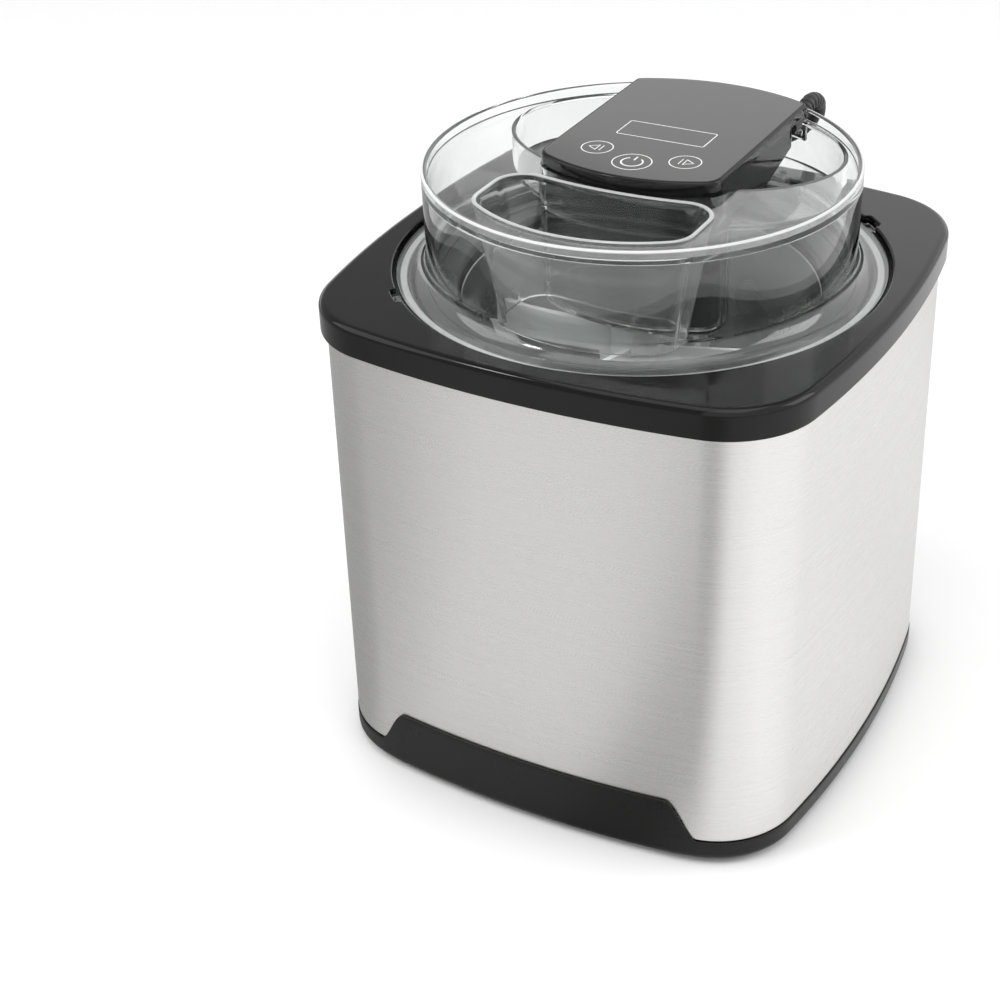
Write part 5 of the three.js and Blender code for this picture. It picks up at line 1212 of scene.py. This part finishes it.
def finishes():
    """Every finish by its name, made once."""
    if FINISHES:
        return FINISHES
    c = settings().colours
    polished = {"broad": 30, "depth": 0.003, "spread": 0.03}
    metal = {"depth": 0.01, "Metallic": 1.0}
    board_green, nickel = (0.02, 0.11, 0.045), (0.62, 0.6, 0.56)
    FINISHES.update(
        steel=brushed_steel(tuple(c.steel)),
        deck=finish("deck_black", tuple(c.black), 0.07, grain=260, Specular_IOR_Level=0.25, **polished),
        black=finish("head_black", tuple(c.black), 0.09, grain=300, Specular_IOR_Level=0.3, **polished),
        base=finish(
            "base_black", tuple(c.base), 0.3, grain=1800, broad=50, depth=0.012, Specular_IOR_Level=0.25
        ),
        tub=finish("tub_black", (0.02, 0.02, 0.02), 0.5, grain=2200, depth=0.03),
        rim=finish("rim_black", (0.015, 0.015, 0.015), 0.32, grain=1600, depth=0.012),
        film=finish("film", tuple(c.film), 0.06, grain=350, broad=20, depth=0.002, spread=0.02),
        ink=finish("ink", tuple(c.ink), 0.4, grain=4000, depth=0.004, change=0.03),
        clear=clear_plastic(tuple(c.clear)),
        # The bowl's colour carries painted shade as well as the aluminium's own grey.
        aluminium=spun_aluminium(tuple(c.aluminium)),
        canister=finish("canister_white", (0.62, 0.64, 0.65), 0.42, grain=1900, depth=0.02),
        gel=finish("coolant", (0.25, 0.5, 0.7), 0.5, grain=120, broad=18, depth=0.2, Subsurface_Weight=0.2),
        milky=finish("milky_plastic", tuple(c.milky), 0.35, grain=1500, depth=0.012, change=0.03),
        gasket=finish("gasket", (0.42, 0.43, 0.43), 0.55, grain=2400, depth=0.02),
        rubber=finish("rubber", tuple(c.rubber), 0.55, grain=2600, depth=0.02),
        plug=finish("plug_black", (0.016, 0.016, 0.016), 0.45, grain=2000, depth=0.02),
        tie=finish("tie_black", (0.03, 0.03, 0.03), 0.5, grain=2400, depth=0.02),
        zinc=finish("zinc", (0.5, 0.5, 0.5), 0.3, grain=1200, **metal),
        blade=finish("nickel", nickel, 0.22, grain=900, stretch=(1, 1, 12), depth=0.006, Metallic=1.0),
        brass=finish("brass", (0.7, 0.48, 0.2), 0.3, grain=900, **metal),
        motor=finish("motor_steel", (0.42, 0.42, 0.41), 0.35, grain=900, stretch=(1, 1, 8), **metal),
        plate=finish("plate_steel", (0.5, 0.5, 0.49), 0.34, grain=700, stretch=(1, 14, 1), **metal),
        gear=finish("gear_plastic", (0.78, 0.75, 0.66), 0.45, grain=1700, depth=0.015, change=0.04),
        board=finish("circuit_board", board_green, 0.42, grain=2400, broad=300, depth=0.02, change=0.25),
        display=finish("display", (0.03, 0.035, 0.03), 0.18, grain=900, broad=60, depth=0.004),
        key=finish("key_rubber", (0.05, 0.05, 0.05), 0.6, grain=2600, depth=0.02),
    )
    return FINISHES


# CAD nodes that are shown as they are, and their finishes.
CARRIED = {
    "inner_tub": "tub", "coolant_gel": "gel", "dasher": "milky", "lcd_module": "display",
    "control_board": "board", "key_": "key", "_screw_": "zinc", "output_gear": "gear",
    "reduction_gear": "gear", "gear_pin": "zinc", "motor_rotor": "motor", "motor_can": "motor",
    "gear_plate": "plate", "drive_bush": "brass",
}


# ---------------------------------------------------------------- camera and studio


def outward(azimuth, elevation):
    """Direction out from the object, with azimuth 0 at its front: (sin a cos e, -cos a cos e, sin e)."""
    level = np.cos(elevation)
    return Vector((np.sin(azimuth) * level, -np.cos(azimuth) * level, np.sin(elevation)))


def add_camera():
    """Camera at the settings' azimuth, elevation and distance, tilted by the roll about its own axis."""
    s = settings().camera
    back = outward(s.azimuth, s.elevation)
    right = Vector((np.cos(s.azimuth), np.sin(s.azimuth), 0))
    up = back.cross(right)
    cosine, sine = np.cos(s.roll), np.sin(s.roll)
    right, up = right * cosine + up * sine, up * cosine - right * sine
    data = bpy.data.cameras.new("camera")
    data.lens = s.lens
    data.sensor_width = 36
    data.clip_start = 0.01
    camera = add_object("camera", data)
    camera.matrix_world = Matrix((right, up, back)).transposed().to_4x4()
    camera.location = Vector(s.target) + back * s.distance
    bpy.context.scene.camera = camera


def soft_light(name, azimuth, elevation, distance, size, power):
    """A square light that faces the object's middle. Its angles are in degrees."""
    out = outward(*np.radians([azimuth, elevation]))
    data = bpy.data.lights.new(name, "AREA")
    data.size = size
    data.energy = power
    light = add_object(name, data)
    light.location = Vector((0, 0, 130 * MM)) + out * distance
    light.rotation_euler = out.to_track_quat("Z", "Y").to_euler()


def grey_ramp(t, value, stops):
    """Grey levels between stops of (position, level), for a value from 0 to 1."""
    ramp = t.add("ValToRGB", {"Fac": value})
    elements = ramp.color_ramp.elements
    elements[0].position, elements[1].position = stops[0][0], stops[-1][0]
    for position, _ in stops[1:-1]:
        elements.new(position)
    for element, (_, grey) in zip(elements, stops):
        element.color = (grey, grey, grey, 1)
    return ramp.outputs["Color"]


def mirror_ray(t):
    """1 for a ray from a polished surface, 0 for the camera's or one that came through clear plastic.

    It is the glossy flag less the transmission flag, and not below 0, because a transmitted ray carries both.
    """
    path = t.add("LightPath").outputs
    seen = t.math("SUBTRACT", path["Is Glossy Ray"], path["Is Transmission Ray"])
    return t.math("MAXIMUM", seen, 0.0)


# What polished surfaces see of the floor: grey levels by the angle from the front, in degrees, towards +X.
FLOOR_SEEN = [
    (-180, 0.62), (-110, 0.34), (-60, 0.34), (-47, 0.38), (-38, 0.54), (-28, 0.68), (-8, 0.7), (3, 0.64),
    (12, 0.42), (22, 0.4), (36, 0.85), (60, 1.0), (110, 0.96), (150, 0.85), (180, 0.62),
]


def studio_floor():
    """A wide round floor, pale to the eye; polished surfaces see it in soft bands round the object."""
    radius, thickness = 4.0, 0.02
    profile = [(0, -thickness), (radius, -thickness), (radius, 0.0), (0, 0.0)]
    floor = lathe("floor", profile, count=96, closed=False)
    rgb = tuple(settings().colours.floor)
    material = finish("floor", rgb, 0.75, grain=30, broad=3, depth=0.02, change=0.004, spread=0.02)
    t = Tree(material)
    split = t.add("SeparateXYZ", {"Vector": t.place((1.0, -1.0, 1.0))}).outputs
    share = t.ramp(t.math("ARCTAN2", split["X"], split["Y"]), -np.pi, np.pi)
    level = grey_ramp(t, share, [((degrees + 180) / 360, grey) for degrees, grey in FLOOR_SEEN])
    seen = t.add("Mix", {0: mirror_ray(t), 6: (*rgb, 1), 7: level}, data_type="RGBA")
    t.link(seen.outputs[2], t.shader.inputs["Base Color"])
    floor.data.materials.append(material)


def studio_world():
    """Pale surroundings. Polished surfaces see in them a bright wall whose upper edge climbs to the right.

    With z the sine of the elevation and a the angle from Y towards X, the wall fades out round
    z = 0.395 + 0.45 (a + 0.47).
    """
    world = bpy.data.worlds.new("studio")
    bpy.context.scene.world = world
    t = Tree(world)
    background = t.nodes["Background"]
    direction = t.add("SeparateXYZ", {"Vector": t.add("TexCoord").outputs["Generated"]})
    x, y, z = (direction.outputs[axis] for axis in "XYZ")
    climb = 0.45
    edge = t.math("MULTIPLY_ADD", t.math("ARCTAN2", x, y), climb, climb * 0.47)
    wall = t.ramp(t.math("SUBTRACT", z, edge), 0.37, 0.42, 1.35, 0.5)
    mirror = t.add("Mix", {0: mirror_ray(t), 2: 0.8, 3: wall})
    t.link(mirror.outputs[0], background.inputs["Color"])
    background.inputs["Strength"].default_value = 1.0


# ---------------------------------------------------------------- operators


class Maker(Operator):
    """Base of the operators that make pieces."""

    bl_options = {"REGISTER", "UNDO"}

    def execute(self, context):
        self.make(finishes())
        return {"FINISHED"}


class ICM_OT_camera(Operator):
    """Add the camera"""

    bl_idname = "icm.camera"
    bl_label = "Camera"

    def execute(self, context):
        add_camera()
        return {"FINISHED"}


class ICM_OT_cord(Maker):
    """Add the mains cord, its strain relief, tie and plug"""

    bl_idname = "icm.cord"
    bl_label = "Mains cord"

    def make(self, f):
        cord = place(mains_cord(), "head", "cord_rubber", f["rubber"], "power_cord", "cord_coil", "cord_tail")
        relief = place(strain_relief(), "head", "cord_rubber", f["plug"], "strain_relief")
        tie = place(cord_tie(), "head", "tie_plastic", f["tie"], "cord_tie")
        plug = place(mains_plug(), "head", "plug_plastic", f["plug"], "mains_plug")
        blades = place(plug_blades(), "head", "plug_plastic", f["blade"], "mains_plug")


class ICM_OT_body(Maker):
    """Add the base, its feet, the steel shell and the deck"""

    bl_idname = "icm.body"
    bl_label = "Body"

    def make(self, f):
        place(base_tray(), "body", "black_plastic", f["base"], "base_tray")
        place(steel_shell(), "body", "shell_steel", f["steel"], "steel_shell")
        place(top_deck(), "body", "deck_plastic", f["deck"], "top_deck")
        for k in range(1, 5):
            place(rubber_foot(k), "body", "foot_rubber", f["rubber"], f"rubber_foot_{k}")


class ICM_OT_canister(Maker):
    """Add the canister, its bowl and rim, and the lid's seal"""

    bl_idname = "icm.canister"
    bl_label = "Canister"

    def make(self, f):
        place(bowl(), "canister", "bowl_aluminium", f["aluminium"], "canister_bowl")
        place(canister_outer(), "canister", "canister_plastic", f["canister"], "canister_outer")
        place(canister_rim(), "canister", "black_plastic", f["rim"], "canister_rim")
        place(lid_gasket(), "seal", "gasket_rubber", f["gasket"], "lid_gasket")


class ICM_OT_lid(Maker):
    """Add the clear lid"""

    bl_idname = "icm.lid"
    bl_label = "Clear lid"

    def make(self, f):
        place(clear_lid(), "lid", "clear_plastic", f["clear"], "clear_lid", "lid_chute", "lid_well")


class ICM_OT_head(Maker):
    """Add the motor head's housing, cover and film with its icons"""

    bl_idname = "icm.head"
    bl_label = "Motor head"

    def make(self, f):
        place(head_housing(), "head", "black_plastic", f["black"], "head_housing")
        place(head_cover(), "head", "black_plastic", f["black"], "head_cover")
        place(overlay(), "head", "overlay_film", f["film"], "control_overlay")
        place(printed_icons(), "head", "overlay_film", f["ink"])


class ICM_OT_carried(Maker):
    """Give the CAD nodes that are shown as they are their finishes"""

    bl_idname = "icm.carried"
    bl_label = "Inner parts"

    def make(self, f):
        for name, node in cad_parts.items():
            for part, key in CARRIED.items():
                if part in name:
                    for slot in node.material_slots:
                        slot.material = f[key]


class ICM_OT_studio(Operator):
    """Add the floor, the surroundings and the lights"""

    bl_idname = "icm.studio"
    bl_label = "Studio"

    def execute(self, context):
        studio_floor()
        studio_world()
        soft_light("top", 10, 80, distance=1.6, size=1.4, power=9)
        soft_light("left", -60, 35, distance=1.8, size=1.2, power=8)
        soft_light("key", -39, 47, distance=1.4, size=0.16, power=1.6)
        soft_light("right", 110, 30, distance=1.8, size=1.0, power=8)
        return {"FINISHED"}


class ICM_PT_panel(Panel):
    """Settings and makers in the sidebar"""

    bl_label = "Ice cream maker"
    bl_idname = "ICM_PT_panel"
    bl_space_type = "VIEW_3D"
    bl_region_type = "UI"
    bl_category = "Ice cream maker"

    def draw(self, context):
        groups = context.scene.ice_cream_maker
        for name in ("body", "lid", "head", "cord", "colours", "camera"):
            box = self.layout.box()
            box.label(text=name.capitalize())
            group = getattr(groups, name)
            for key in group.__annotations__:
                box.prop(group, key)
        for operator in MAKERS:
            self.layout.operator(operator.bl_idname)


MAKERS = (
    ICM_OT_camera, ICM_OT_cord, ICM_OT_body, ICM_OT_canister,
    ICM_OT_lid, ICM_OT_head, ICM_OT_carried, ICM_OT_studio,
)
SETTINGS = (
    BodySettings, LidSettings, HeadSettings, CordSettings,
    ColourSettings, CameraSettings, IceCreamMakerSettings,
)


def register():
    """Tells Blender of the settings, the makers and the panel."""
    for cls in SETTINGS + MAKERS + (ICM_PT_panel,):
        bpy.utils.register_class(cls)
    bpy.types.Scene.ice_cream_maker = PointerProperty(type=IceCreamMakerSettings)


def unregister():
    """Takes them away again."""
    del bpy.types.Scene.ice_cream_maker
    for cls in reversed(SETTINGS + MAKERS + (ICM_PT_panel,)):
        bpy.utils.unregister_class(cls)


def main():
    """Makes every piece and the studio."""
    register()
    bpy.ops.icm.camera()
    bpy.ops.icm.cord()
    bpy.ops.icm.body()
    bpy.ops.icm.canister()
    bpy.ops.icm.lid()
    bpy.ops.icm.head()
    bpy.ops.icm.carried()
    bpy.ops.icm.studio()
    bpy.context.scene.view_settings.view_transform = "Standard"


if __name__ == "__main__":
    main()
